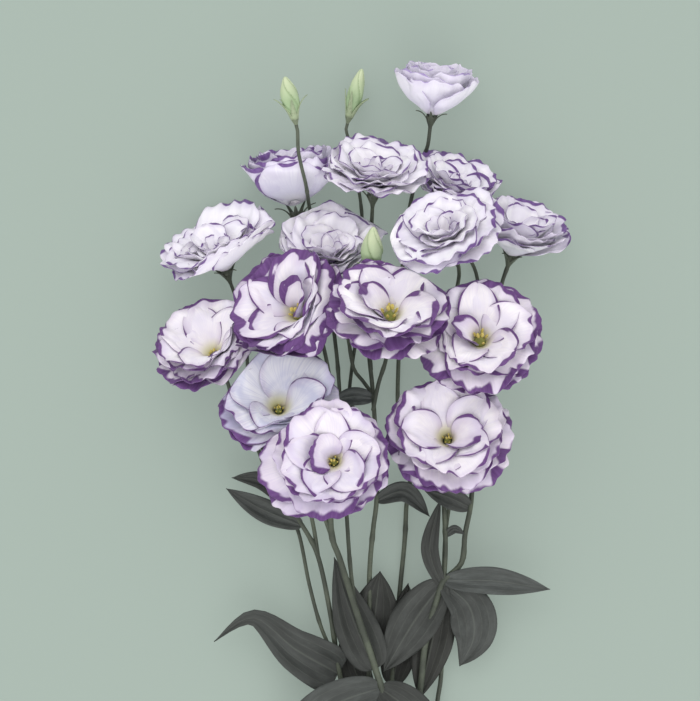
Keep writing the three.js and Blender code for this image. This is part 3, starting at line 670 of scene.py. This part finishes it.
def tube_rings(line, radius, sides):
    """Rings of a round bar along a line."""
    rings = []
    # Any direction that no stem runs along.
    ref = np.array([0.31, 0.17, 0.93])
    turn = circle(sides)
    for at, w, r in zip(line, directions(line), radius):
        u = unit(ref - w * (ref @ w))
        ref = u
        side = np.cross(w, u)
        rings.append(at + r * (np.outer(np.cos(turn), u) + np.outer(np.sin(turn), side)))
    return np.array(rings)


def turned_rings(profile, turn, ribs=1.0, lean=(0, 0)):
    """Rings round the third axis, one for each height and radius, that may lean off it."""
    rings = []
    for h, r in profile:
        x = r * ribs * np.cos(turn) + lean[0] * h
        y = r * ribs * np.sin(turn) + lean[1] * h
        rings.append(vector(x, y, h))
    return np.array(rings)


def carried(name):
    """The base, axis and size of the head or bud that a stem line ends in."""
    if name in HEADS:
        head = HEADS[name]
        return np.array(head["base"], float), unit(head["axis"]), head["size"]
    bud = BUDS[name]
    base = np.array(bud["base"], float)
    return base, unit(np.array(bud["tip"]) - base), BUD_SIZE


STALK_SIDES = 12
STALK_STEP = 3
# How far under a head of size 1 or a bud a stalk's last bend lies, and its end inside the cup.
HEAD_LEAD = 20
BUD_LEAD = 9
STALK_END = 7.5
# A stalk's knots: how far apart, where the first one is, how long and how much stouter.
KNOT_SPACING = 55
KNOT_START = 27
KNOT_LENGTH = 2.2
KNOT_SWELL = 0.22


def add_stalk(parts, points, radii, end):
    base, axis, size = carried(end)
    lead = base - axis * (HEAD_LEAD * size if end in HEADS else BUD_LEAD)
    line = smooth_line(list(points) + [lead, base - axis * STALK_END * size], STALK_STEP)
    along = np.linspace(0, 1, len(line))
    radius = np.interp(along, np.linspace(0, 1, len(radii)), radii)
    run = np.concatenate([[0], np.cumsum(np.linalg.norm(np.diff(line, axis=0), axis=1))])
    from_knot = (run % KNOT_SPACING - KNOT_START) / KNOT_LENGTH
    radius = radius * (1 + KNOT_SWELL * np.exp(-(from_knot**2)))
    rings = tube_rings(line, radius, STALK_SIDES)
    # A stalk is flattened a little where it lies on the surface.
    rings[..., 2] = np.maximum(rings[..., 2], 0)
    parts.rings(rings, blade=vector(0, 0, 0))


CALYX_SIDES = 20
SEPAL_THICKNESS = 0.4


def calyx_rings(base, axis, size):
    """The green cup under a head or a bud."""
    profile = [(-8.8, 1.15), (-7.2, 1.35), (-5.2, 2.1), (-3.6, 2.8), (-1.8, 3.25), (-0.3, 3.35)]
    turn = circle(CALYX_SIDES)
    ribs = 1 + 0.07 * np.cos(5 * turn)
    return base + turned_rings(profile, turn, ribs) * size @ frame_of(axis, 0)


def sepal_grid(base, axis, size, reach, wide, spread, turn, bend):
    """One narrow pointed sepal that leaves the cup and bends outwards."""
    rows = frame_of(axis, 0)
    t, u = np.meshgrid(np.linspace(0, 1, 12), np.linspace(-1, 1, 5), indexing="ij")
    angle = math.radians(spread) * (0.55 + 0.45 * t) + bend * t**2
    r = 2.9 * size + reach * t * np.sin(angle)
    h = -3.0 * size + reach * t * np.cos(angle)
    half = wide * size * (1 - t) ** 0.8 + 0.12
    around = turn + u * half / np.maximum(r, 1)
    h = h + 0.25 * size * (np.abs(u) - 0.5)
    return base + vector(r * np.cos(around), r * np.sin(around), h) @ rows


def add_calyx(parts, end, draw):
    """A cup with five sepals, slim and spread under a head, broad and paler round a bud."""
    base, axis, size = carried(end)
    head = end in HEADS
    reach = 10.5 * size if head else BUDS[end]["sepal"]
    wide = 1.35 if head else 2.5
    spread = 44 if head else 21
    pale = 0.0 if head else 1.0
    parts.rings(calyx_rings(base, axis, size), blade=vector(0, 0, 0.4 * pale))
    for k in range(5):
        turn = math.radians(72 * k)
        own = reach * draw.uniform(0.92, 1.05)
        bend = draw.uniform(-0.15, 0.25)
        grid = sepal_grid(base, axis, size, own, wide, spread, turn, bend)
        parts.sheet(grid, SEPAL_THICKNESS, blade=vector(0, 0, pale))


LEAF_THICKNESS = 0.5
# Points along and across a leaf.
LEAF_ALONG = 34
LEAF_ACROSS = 15
STEM_SEED = 900


def leaf_grid(line, half, fold, belly):
    """A pointed leaf with a folded midrib and waved edges."""
    fine = smooth_line(line, 0.8)
    run = np.linspace(0, 1, len(fine))
    share = np.linspace(0, 1, LEAF_ALONG)
    t = share**belly
    at = np.stack([np.interp(t, run, fine[:, k]) for k in range(3)], -1)
    ahead = directions(at)
    side = np.cross(ahead, [0, 0, 1])
    side /= np.linalg.norm(side, axis=1, keepdims=True)
    up = np.cross(side, ahead)
    u = np.linspace(-1, 1, LEAF_ACROSS)
    # Blunt at the root and drawn out to a point at the tip.
    bow = np.sin(math.pi * share**0.86)
    width = half * (np.clip(bow, 0, 1) ** (0.65 + 0.65 * share) + 0.07 * (1 - share))
    width = np.maximum(width, 0.15)
    edge = np.abs(u) ** 1.6
    ripple = half * (0.13 * np.sin(t * 11 + half) + 0.05 * np.sin(t * 27 + 2 * half))
    ripple = ripple * np.minimum(1, t * 3) * (1 - t**4)
    lift = fold * width[:, None] * edge + ripple[:, None] * u * np.abs(u)
    # The blade bulges a little between its main veins.
    lift += 0.045 * half * np.cos(3 * math.pi * np.abs(u)) * np.sin(math.pi * share)[:, None]
    grid = at[:, None] + side[:, None] * (u * width[:, None])[..., None] + up[:, None] * lift[..., None]
    return grid, u[None, :] + 0 * lift, share[:, None] + 0 * lift


def make_stem(name, stalk, leaf):
    draw = np.random.default_rng(STEM_SEED + len(name))
    stalks = MeshParts()
    for points, radii, end in STEMS[name]:
        add_stalk(stalks, points, radii, end)
        add_calyx(stalks, end, draw)
    stalks.build("stalks_" + name, stalk, "stem_" + name)
    blades = MeshParts()
    for number, (stem, line, half, fold, belly, tone_and_light) in enumerate(LEAVES):
        if stem != name:
            continue
        grid, u, t = leaf_grid(line, half, fold, belly)
        thickness = LEAF_THICKNESS * (1 + 1.2 * np.exp(-((u / 0.1) ** 2)) * (1 - t))
        blades.sheet(grid, thickness, blade=vector(u, t, number + tone_and_light))
    if blades.total:
        blades.build("leaves_" + name, leaf, "stem_" + name)


BUD_SIDES = 60
BUD_RINGS = 40


def make_bud(name, material):
    """Petals rolled round each other, with spiral folds that run to the point."""
    bud = BUDS[name]
    base = np.array(bud["base"], float)
    axis = np.array(bud["tip"]) - base
    length = np.linalg.norm(axis)
    rows = frame_of(axis, 0)
    turn = circle(BUD_SIDES)
    along = np.linspace(0, 1, BUD_RINGS)
    wide = np.interp(
        along,
        [0, 0.06, 0.14, 0.24, 0.34, 0.46, 0.56, 0.68, 0.78, 0.87, 0.93, 0.98, 1],
        [0.36, 0.5, 0.68, 0.86, 0.95, 0.97, 0.92, 0.79, 0.63, 0.47, 0.34, 0.2, 0.1],
    )
    rings = []
    values = []
    for t, w in zip(along, wide):
        phase = (turn / (2 * math.pi) * 4 + 1.6 * t) % 1
        roll = 1 - 0.11 * ramp(phase, 0.0, 0.92) * (1 - ramp(phase, 0.93, 1.0))
        r = bud["radius"] * w * roll
        rings.append(base + vector(r * np.cos(turn), r * np.sin(turn), t * length) @ rows)
        values.append(vector(phase, t, 0))
    parts = MeshParts()
    parts.rings(np.array(rings), blade=np.array(values))
    parts.build("rolled_bud_" + name, material, "bud_" + name)


# How large the style and anthers of a head are, where they aren't of the usual size.
PISTIL_SIZE = {
    "mid": 1.15,
    "mid_right": 1.1,
    "left_low": 0.7,
    "low_left": 0.6,
    "low_right": 0.62,
    "lowest": 0.7,
    "right_high": 0.6,
}
USUAL_PISTIL = 0.9
PISTIL_SIDES = 16
PISTIL_SEED = 500


def make_pistil(name, material):
    """A green ovary that narrows to a style with two yellow lobes, and anthers round it."""
    head = HEADS[name]
    base = np.array(head["base"], float)
    size = head["size"] * PISTIL_SIZE.get(name, USUAL_PISTIL)
    rows = frame_of(head["axis"], head["spin"])
    draw = np.random.default_rng(head["seed"] + PISTIL_SEED)
    parts = MeshParts()
    turn = circle(PISTIL_SIDES)

    def add(rings, yellow):
        parts.rings(base + rings * size @ rows, blade=vector(yellow, 0, 0))

    ovary = [(2.2, 1.4), (3, 2.8), (4.8, 3.2), (6.4, 2.5), (7.8, 1.3), (10.2, 0.7), (10.8, 0.4)]
    add(turned_rings(ovary, turn), 0)
    for side in (-1, 1):
        lobe = []
        for t in np.linspace(0, 1, 10):
            r = 1.25 * math.sin(math.pi * (0.06 + 0.9 * t)) ** 0.7
            across = side * (0.9 + 0.5 * t)
            lobe.append(vector(r * np.cos(turn) * 0.75 + across, r * np.sin(turn) * 1.1, 10 + 3.4 * t))
        add(np.array(lobe), 1)
    for k in range(5):
        around = 2 * math.pi * (k / 5 + draw.uniform(-0.03, 0.03))
        lean = 0.42 + draw.uniform(-0.05, 0.05)
        away = (lean * math.cos(around), lean * math.sin(around))
        tall = 9 + draw.uniform(-0.8, 0.8)
        thread = [(2.6, 0.22), (tall - 1.4, 0.2)]
        anther = [(tall - 1.2, 0.55), (tall, 0.75), (tall + 1.2, 0.5), (tall + 1.5, 0.2)]
        add(turned_rings(thread + anther, turn, lean=away), 1)
    parts.build("pistil_" + name, material, "centre_" + name)


# Materials, each a small network on one Principled shader.
class Nodes:
    """Short calls for a material's nodes."""

    def __init__(self, name):
        self.material = bpy.data.materials.new(name)
        self.material.use_nodes = True
        self.tree = self.material.node_tree
        self.shader = self.tree.nodes["Principled BSDF"]

    def put(self, kind, inputs=(), **settings):
        node = self.tree.nodes.new(kind)
        for key, value in settings.items():
            setattr(node, key, value)
        for key, value in dict(inputs).items():
            self.feed(node.inputs[key], value)
        return node

    def feed(self, socket, value):
        if hasattr(value, "node"):
            self.tree.links.new(value, socket)
        else:
            socket.default_value = value

    def attribute(self, name):
        node = self.put("ShaderNodeAttribute", attribute_name=name)
        split = self.put("ShaderNodeSeparateXYZ", {0: node.outputs["Vector"]})
        return split.outputs[0], split.outputs[1], split.outputs[2]

    def place(self):
        return self.put("ShaderNodeTexCoord").outputs["Object"]

    def math(self, operation, a, b=0.0):
        return self.put("ShaderNodeMath", {0: a, 1: b}, operation=operation).outputs[0]

    def times(self, a, b):
        return self.math("MULTIPLY", a, b)

    def plus(self, a, b):
        return self.math("ADD", a, b)

    def ramp(self, value, low, high, start=0.0, end=1.0, smooth=True):
        inputs = {0: value, 1: low, 2: high, 3: start, 4: end}
        kind = "SMOOTHSTEP" if smooth else "LINEAR"
        return self.put("ShaderNodeMapRange", inputs, interpolation_type=kind).outputs[0]

    def join(self, x, y, z):
        return self.put("ShaderNodeCombineXYZ", {0: x, 1: y, 2: z}).outputs[0]

    def noise(self, vector, scale, detail=2.0, roughness=0.5):
        inputs = {"Vector": vector, "Scale": scale, "Detail": detail, "Roughness": roughness}
        return self.put("ShaderNodeTexNoise", inputs).outputs["Fac"]

    def mix(self, share, a, b):
        node = self.put("ShaderNodeMix", data_type="RGBA")
        self.feed(node.inputs[0], share)
        self.feed(node.inputs[6], a)
        self.feed(node.inputs[7], b)
        return node.outputs[2]

    def bump(self, height, strength, distance):
        inputs = {"Height": height, "Strength": strength, "Distance": distance}
        self.feed(self.shader.inputs["Normal"], self.put("ShaderNodeBump", inputs).outputs[0])

    def set(self, **values):
        for key, value in values.items():
            self.feed(self.shader.inputs[key.replace("_", " ")], value)


def colour(red, green, blue):
    """A display colour of 0 to 255 a channel as linear light."""
    linear = []
    for value in (red, green, blue):
        c = value / 255
        linear.append(c / 12.92 if c <= 0.04045 else ((c + 0.055) / 1.055) ** 2.4)
    return (*linear, 1.0)


def petal_material(name, width, gap, colours):
    """White petals with an uneven coloured margin that tapers in and out. width scales it, and
    a larger gap leaves more of the margin white. The shade colour is painted shade on the outer face near
    its foot. The tint paints lilac clouds and veins: the petals' own tint, and in the greyer looks painted
    shade as well."""
    white, tint_and_shade, painted_shade, deep, soft, yellow = colours
    m = Nodes(name)
    u, v, seed = m.attribute("blade")
    rim, x, curl = m.attribute("margin")
    offset = m.times(m.math("FRACT", seed), 71.0)
    outer = m.ramp(seed, 1.0, OUTER_FACE)
    # How far the margin's colour comes in: broad patches, more where it curls, and fine streaks.
    along = m.plus(m.times(x, 0.085), m.times(v, 1.2))
    broad = m.noise(m.join(along, offset, 0.0), 1.0, 1.0, 0.5)
    bent = m.times(m.ramp(curl, 0.6, -0.9), 0.35 * width)
    reach = m.plus(m.ramp(broad, 0.34, 0.68, -gap * width, 3.6 * width), bent)
    fan = m.math("DIVIDE", u, m.plus(0.25, v))
    brush = m.join(m.times(fan, 15.0), m.times(rim, 0.1), offset)
    streak = m.noise(brush, 1.0, 3.0, 0.6)
    feather = m.ramp(streak, 0.3, 0.7, -0.12 * width, 0.22 * width, smooth=False)
    high = m.ramp(v, 0.35, 0.7)
    level = m.times(m.plus(reach, feather), high)
    inside = m.math("SUBTRACT", level, rim)
    mask = m.ramp(inside, -0.4, 0.6)
    bleed = m.times(m.ramp(inside, -6.0, 0.3), 0.3)
    # The blade's white, with veins, clouds of tint (painted shade as well where the tint is grey), painted
    # shade on the outer face near its foot, and a yellow throat.
    lines = m.join(m.times(fan, 30.0), m.times(v, 1.2), offset)
    vein = m.noise(lines, 1.0, 2.0, 0.6)
    # The tint follows the veins and broad clouds. It is the petals' own lilac, and where it is grey it is
    # painted shade.
    base = m.mix(m.times(m.ramp(vein, 0.3, 0.8), 0.6), white, tint_and_shade)
    cloud = m.noise(m.join(m.times(x, 0.06), m.times(v, 2.0), offset), 1.0)
    base = m.mix(m.times(m.ramp(cloud, 0.38, 0.68), 0.8), base, tint_and_shade)
    # Painted shade: the outer face turns to the shade colour towards its foot.
    near_foot = m.times(outer, m.ramp(v, 1.0, 0.2))
    base = m.mix(m.times(near_foot, 0.5), base, painted_shade)
    throat = m.times(m.ramp(v, 0.34, 0.05), m.ramp(outer, 0.0, 1.0, yellow, CLOSED_THROAT))
    base = m.mix(throat, base, colour(202, 198, 128))
    base = m.mix(bleed, base, soft)
    purple = m.mix(m.ramp(streak, 0.3, 0.7), deep, soft)
    purple = m.mix(0.75, purple, deep)
    m.set(Base_Color=m.mix(mask, base, purple), Roughness=0.6, Specular_IOR_Level=0.25)
    m.set(Sheen_Weight=0.15, Sheen_Roughness=0.5)
    m.bump(vein, 0.16, 0.0004)
    return m.material


def leaf_material():
    """Dull grey-green, with a pale midrib and veins that run from the root to the tip."""
    m = Nodes("leaf")
    u, t, place = m.attribute("blade")
    side = m.math("ABSOLUTE", u)
    tone_and_light = m.math("FRACT", place)
    offset = m.times(place, 7.3)
    grain = m.join(m.times(u, 2.2), m.times(t, 3.5), offset)
    grain = m.noise(grain, 1.0, 4.0, 0.6)
    # Each leaf's tone, partly painted light, sets how dark or pale it is.
    dark = m.mix(tone_and_light, colour(31, 32, 28), colour(65, 69, 67))
    light = m.mix(tone_and_light, colour(45, 46, 42), colour(88, 93, 91))
    base = m.mix(m.ramp(grain, 0.3, 0.7), dark, light)
    wander = m.times(m.math("SUBTRACT", grain, 0.5), 0.05)
    pale = m.ramp(m.plus(side, wander), 0.07, 0.015)
    for vein in (0.34, 0.66):
        gap = m.math("ABSOLUTE", m.math("SUBTRACT", m.plus(side, wander), vein))
        pale = m.math("MAXIMUM", pale, m.times(m.ramp(gap, 0.035, 0.005), 0.55))
    cells = m.join(m.times(u, 9.0), m.times(t, 30.0), offset)
    cells = m.noise(cells, 1.0, 3.0, 0.6)
    base = m.mix(m.times(m.ramp(cells, 0.35, 0.75), 0.35), base, dark)
    m.set(Base_Color=m.mix(m.times(pale, 0.17), base, colour(118, 124, 114)))
    m.set(Roughness=0.55, Specular_IOR_Level=0.35)
    m.bump(m.plus(m.times(cells, 0.6), pale), 0.4, 0.0006)
    return m.material


def stalk_material():
    """Patchy green for stalks and cups, paler for the sepals of buds."""
    m = Nodes("stalk")
    _, _, pale = m.attribute("blade")
    place = m.place()
    patches = m.noise(place, 60.0, 3.0)
    base = m.mix(m.ramp(patches, 0.35, 0.7), colour(62, 67, 58), colour(90, 97, 82))
    base = m.mix(pale, base, colour(158, 172, 138))
    fine = m.noise(place, 900.0, 2.0)
    base = m.mix(m.times(m.ramp(fine, 0.4, 0.8), 0.3), base, colour(52, 56, 48))
    m.set(Base_Color=base, Roughness=0.5, Specular_IOR_Level=0.35)
    m.bump(fine, 0.2, 0.0003)
    return m.material


def bud_material():
    """Pale green rolled petals, darker in the folds and yellower at the point."""
    m = Nodes("rolled_bud")
    phase, t, _ = m.attribute("blade")
    base = m.mix(m.ramp(t, 0.2, 0.95), colour(150, 174, 134), colour(196, 206, 170))
    patches = m.noise(m.place(), 260.0, 3.0)
    base = m.mix(m.times(m.ramp(patches, 0.35, 0.75), 0.4), base, colour(170, 190, 150))
    fold = m.times(m.ramp(phase, 0.7, 0.97), 0.55)
    base = m.mix(fold, base, colour(112, 138, 92))
    m.set(Base_Color=base, Roughness=0.5, Specular_IOR_Level=0.3)
    m.bump(patches, 0.2, 0.0004)
    return m.material


def pistil_material():
    """Green at the ovary and a grainy yellow on the lobes and anthers."""
    m = Nodes("pistil")
    is_yellow, _, _ = m.attribute("blade")
    grains = m.noise(m.place(), 1500.0, 2.0)
    yellow = m.mix(m.ramp(grains, 0.35, 0.7), colour(196, 178, 88), colour(220, 206, 126))
    base = m.mix(is_yellow, colour(150, 156, 88), yellow)
    m.set(Base_Color=base, Roughness=0.6, Specular_IOR_Level=0.25)
    m.bump(grains, 0.4, 0.0003)
    return m.material


LILAC = colour(232, 226, 240)
# A darker lilac for the tint, which paints shade into the clouds and veins.
SHADED_LILAC = colour(216, 209, 228)
# A greyer white: a shaded copy of the petals' white.
SHADED_WHITE = colour(238, 235, 243)
# Painted shade for the outer faces near their foot, and a lighter one.
PAINTED_SHADE = colour(206, 206, 232)
SOFT_PAINTED_SHADE = colour(224, 222, 240)
# The margin's deep and soft colours.
PURPLES = (colour(92, 56, 113), colour(150, 112, 172))
VIOLETS = (colour(100, 67, 129), colour(164, 140, 192))
MAUVES = (colour(158, 138, 190), colour(196, 182, 218))
# How yellow the throat is in open heads, and in the others and on every outer face.
OPEN_THROAT = 0.85
CLOSED_THROAT = 0.15
# White, tint and painted shade of the blade, the margin's colours and the throat's yellow. Some sets are
# lit or shaded copies, whose whites and tints paint light or shade on chosen heads.
USUAL_COLOURS = (colour(249, 244, 246), LILAC, PAINTED_SHADE, *PURPLES, OPEN_THROAT)
# A lit copy: a whiter white paints light into the mid head's bowl, whose folds lie in shade.
LIT_COLOURS = (colour(255, 252, 250), LILAC, PAINTED_SHADE, *PURPLES, OPEN_THROAT)
# A shaded copy: a greyer white and darker tint paint shade on the heads that face the lamps most.
SHADED_COLOURS = (colour(236, 230, 235), SHADED_LILAC, PAINTED_SHADE, *PURPLES, OPEN_THROAT)
# Its grey-blue tint paints shade into the clouds and veins, as on a broad back petal in shade.
PLAIN_COLOURS = (colour(240, 240, 245), colour(196, 198, 222), PAINTED_SHADE, *PURPLES, OPEN_THROAT)
# A lit copy: a whiter tint and lighter painted shade lift the shaded folds of the heads seen from the
# side.
SOFT_LIT_COLOURS = (colour(250, 247, 250), colour(241, 237, 247), SOFT_PAINTED_SHADE, *VIOLETS, CLOSED_THROAT)
# A shaded copy for the upper left head: a greyer white and darker tint paint shade.
DIM_COLOURS = (SHADED_WHITE, SHADED_LILAC, PAINTED_SHADE, *VIOLETS, CLOSED_THROAT)
# The top head's pale mauve margin is its own. Its greyer white is painted shade.
PALE_COLOURS = (SHADED_WHITE, LILAC, SOFT_PAINTED_SHADE, *MAUVES, CLOSED_THROAT)

# Petals by look: how wide the coloured margin is, how much of it stays white, and the colours.
PETAL_LOOKS = {
    "petal": (1.05, 0.55, USUAL_COLOURS),
    "rich_petal": (1.4, 0.25, LIT_COLOURS),
    "richest_petal": (1.9, -0.1, SHADED_COLOURS),
    "spare_petal": (0.85, 0.8, USUAL_COLOURS),
    "mild_petal": (0.8, 0.9, SHADED_COLOURS),
    "plain_petal": (0.8, 0.6, PLAIN_COLOURS),
    "soft_petal": (0.8, 1.3, SOFT_LIT_COLOURS),
    "firm_petal": (1.3, 0.6, SOFT_LIT_COLOURS),
    "dim_petal": (1.1, 1.0, DIM_COLOURS),
    "faint_petal": (0.7, 1.6, SOFT_LIT_COLOURS),
    "pale_petal": (0.4, 2.0, PALE_COLOURS),
}

# Heads that don't have the usual "petal" with a centre or "soft_petal" without.
HEAD_LOOKS = {
    "mid_left": "richest_petal",
    "mid": "rich_petal",
    "low_left": "plain_petal",
    "lowest": "mild_petal",
    "low_right": "spare_petal",
    "right_high": "soft_petal",
    "upper_right": "firm_petal",
    "upper_left": "dim_petal",
    "far_left": "faint_petal",
    "mid_back": "faint_petal",
    "top": "pale_petal",
}

FLOOR_SIZE = 8
FLOOR_GLOW = 0.425
WORLD_LIGHT = 1.1
# Soft lights: place and size in metres, and power in watts.
LIGHTS = {
    "key": ((-0.5, 1.7, 1.9), 1.6, 10),
    "fill": ((0.5, -1.7, 1.6), 1.8, 12),
}
LIGHTS_AIM = np.array([0, 0.06, 0.03])


def make_stage():
    world = bpy.data.worlds.new("studio")
    bpy.context.scene.world = world
    world.use_nodes = True
    inputs = world.node_tree.nodes["Background"].inputs
    inputs["Color"].default_value = (1, 1, 1, 1)
    inputs["Strength"].default_value = WORLD_LIGHT
    bpy.ops.mesh.primitive_plane_add(size=FLOOR_SIZE)
    floor = bpy.context.object
    floor.name = "floor"
    m = Nodes("floor")
    m.set(Base_Color=colour(120, 131, 124), Roughness=0.9, Specular_IOR_Level=0.1)
    m.set(Emission_Color=colour(173, 187, 178), Emission_Strength=FLOOR_GLOW)
    floor.data.materials.append(m.material)
    for name, light in LIGHTS.items():
        make_light(name, *light)


def make_light(name, place, size, power):
    """A square light that faces the middle of the heads."""
    data = bpy.data.lights.new(name, "AREA")
    data.size = size
    data.energy = power
    lamp = bpy.data.objects.new(name, data)
    lamp.location = place
    toward = LIGHTS_AIM - np.array(place)
    lamp.rotation_euler = (
        math.atan2(math.hypot(toward[0], toward[1]), -toward[2]),
        0,
        math.atan2(toward[1], toward[0]) - math.pi / 2,
    )
    bpy.context.scene.collection.objects.link(lamp)


# The camera looks straight down. A photo pixel is PIXEL mm wide at the heads' height, and
# PHOTO_ZERO is the pixel of the bunch's own centre.
PIXEL = 0.56
PHOTO_SIZE = (700, 701)
PHOTO_ZERO = (359, 454)
HEAD_LEVEL = 45
CAMERA_DISTANCE = 3000
# How far the camera sees, in metres.
CLIP_END = 20


def make_camera():
    data = bpy.data.cameras.new("camera")
    data.sensor_fit = "HORIZONTAL"
    data.lens = data.sensor_width * CAMERA_DISTANCE / (PHOTO_SIZE[0] * PIXEL)
    data.clip_end = CLIP_END
    camera = bpy.data.objects.new("camera", data)
    middle = np.array([
        (PHOTO_SIZE[0] / 2 - PHOTO_ZERO[0]) * PIXEL,
        (PHOTO_ZERO[1] - PHOTO_SIZE[1] / 2) * PIXEL,
        HEAD_LEVEL + CAMERA_DISTANCE,
    ])
    camera.location = (middle + ORIGIN) * MM
    bpy.context.scene.collection.objects.link(camera)
    bpy.context.scene.camera = camera
    bpy.context.scene.view_settings.view_transform = "Standard"


STALK = stalk_material()
LEAF = leaf_material()
ROLLED_BUD = bud_material()
PISTIL = pistil_material()
PETALS = {name: petal_material(name, *look) for name, look in PETAL_LOOKS.items()}

for head_name in HEADS:
    usual = "petal" if head_name in FULL else "soft_petal"
    make_bloom(head_name, PETALS[HEAD_LOOKS.get(head_name, usual)])
for head_name in FULL:
    make_pistil(head_name, PISTIL)
for bud_name in BUDS:
    make_bud(bud_name, ROLLED_BUD)
for stem_name in STEMS:
    make_stem(stem_name, STALK, LEAF)
make_stage()
make_camera()
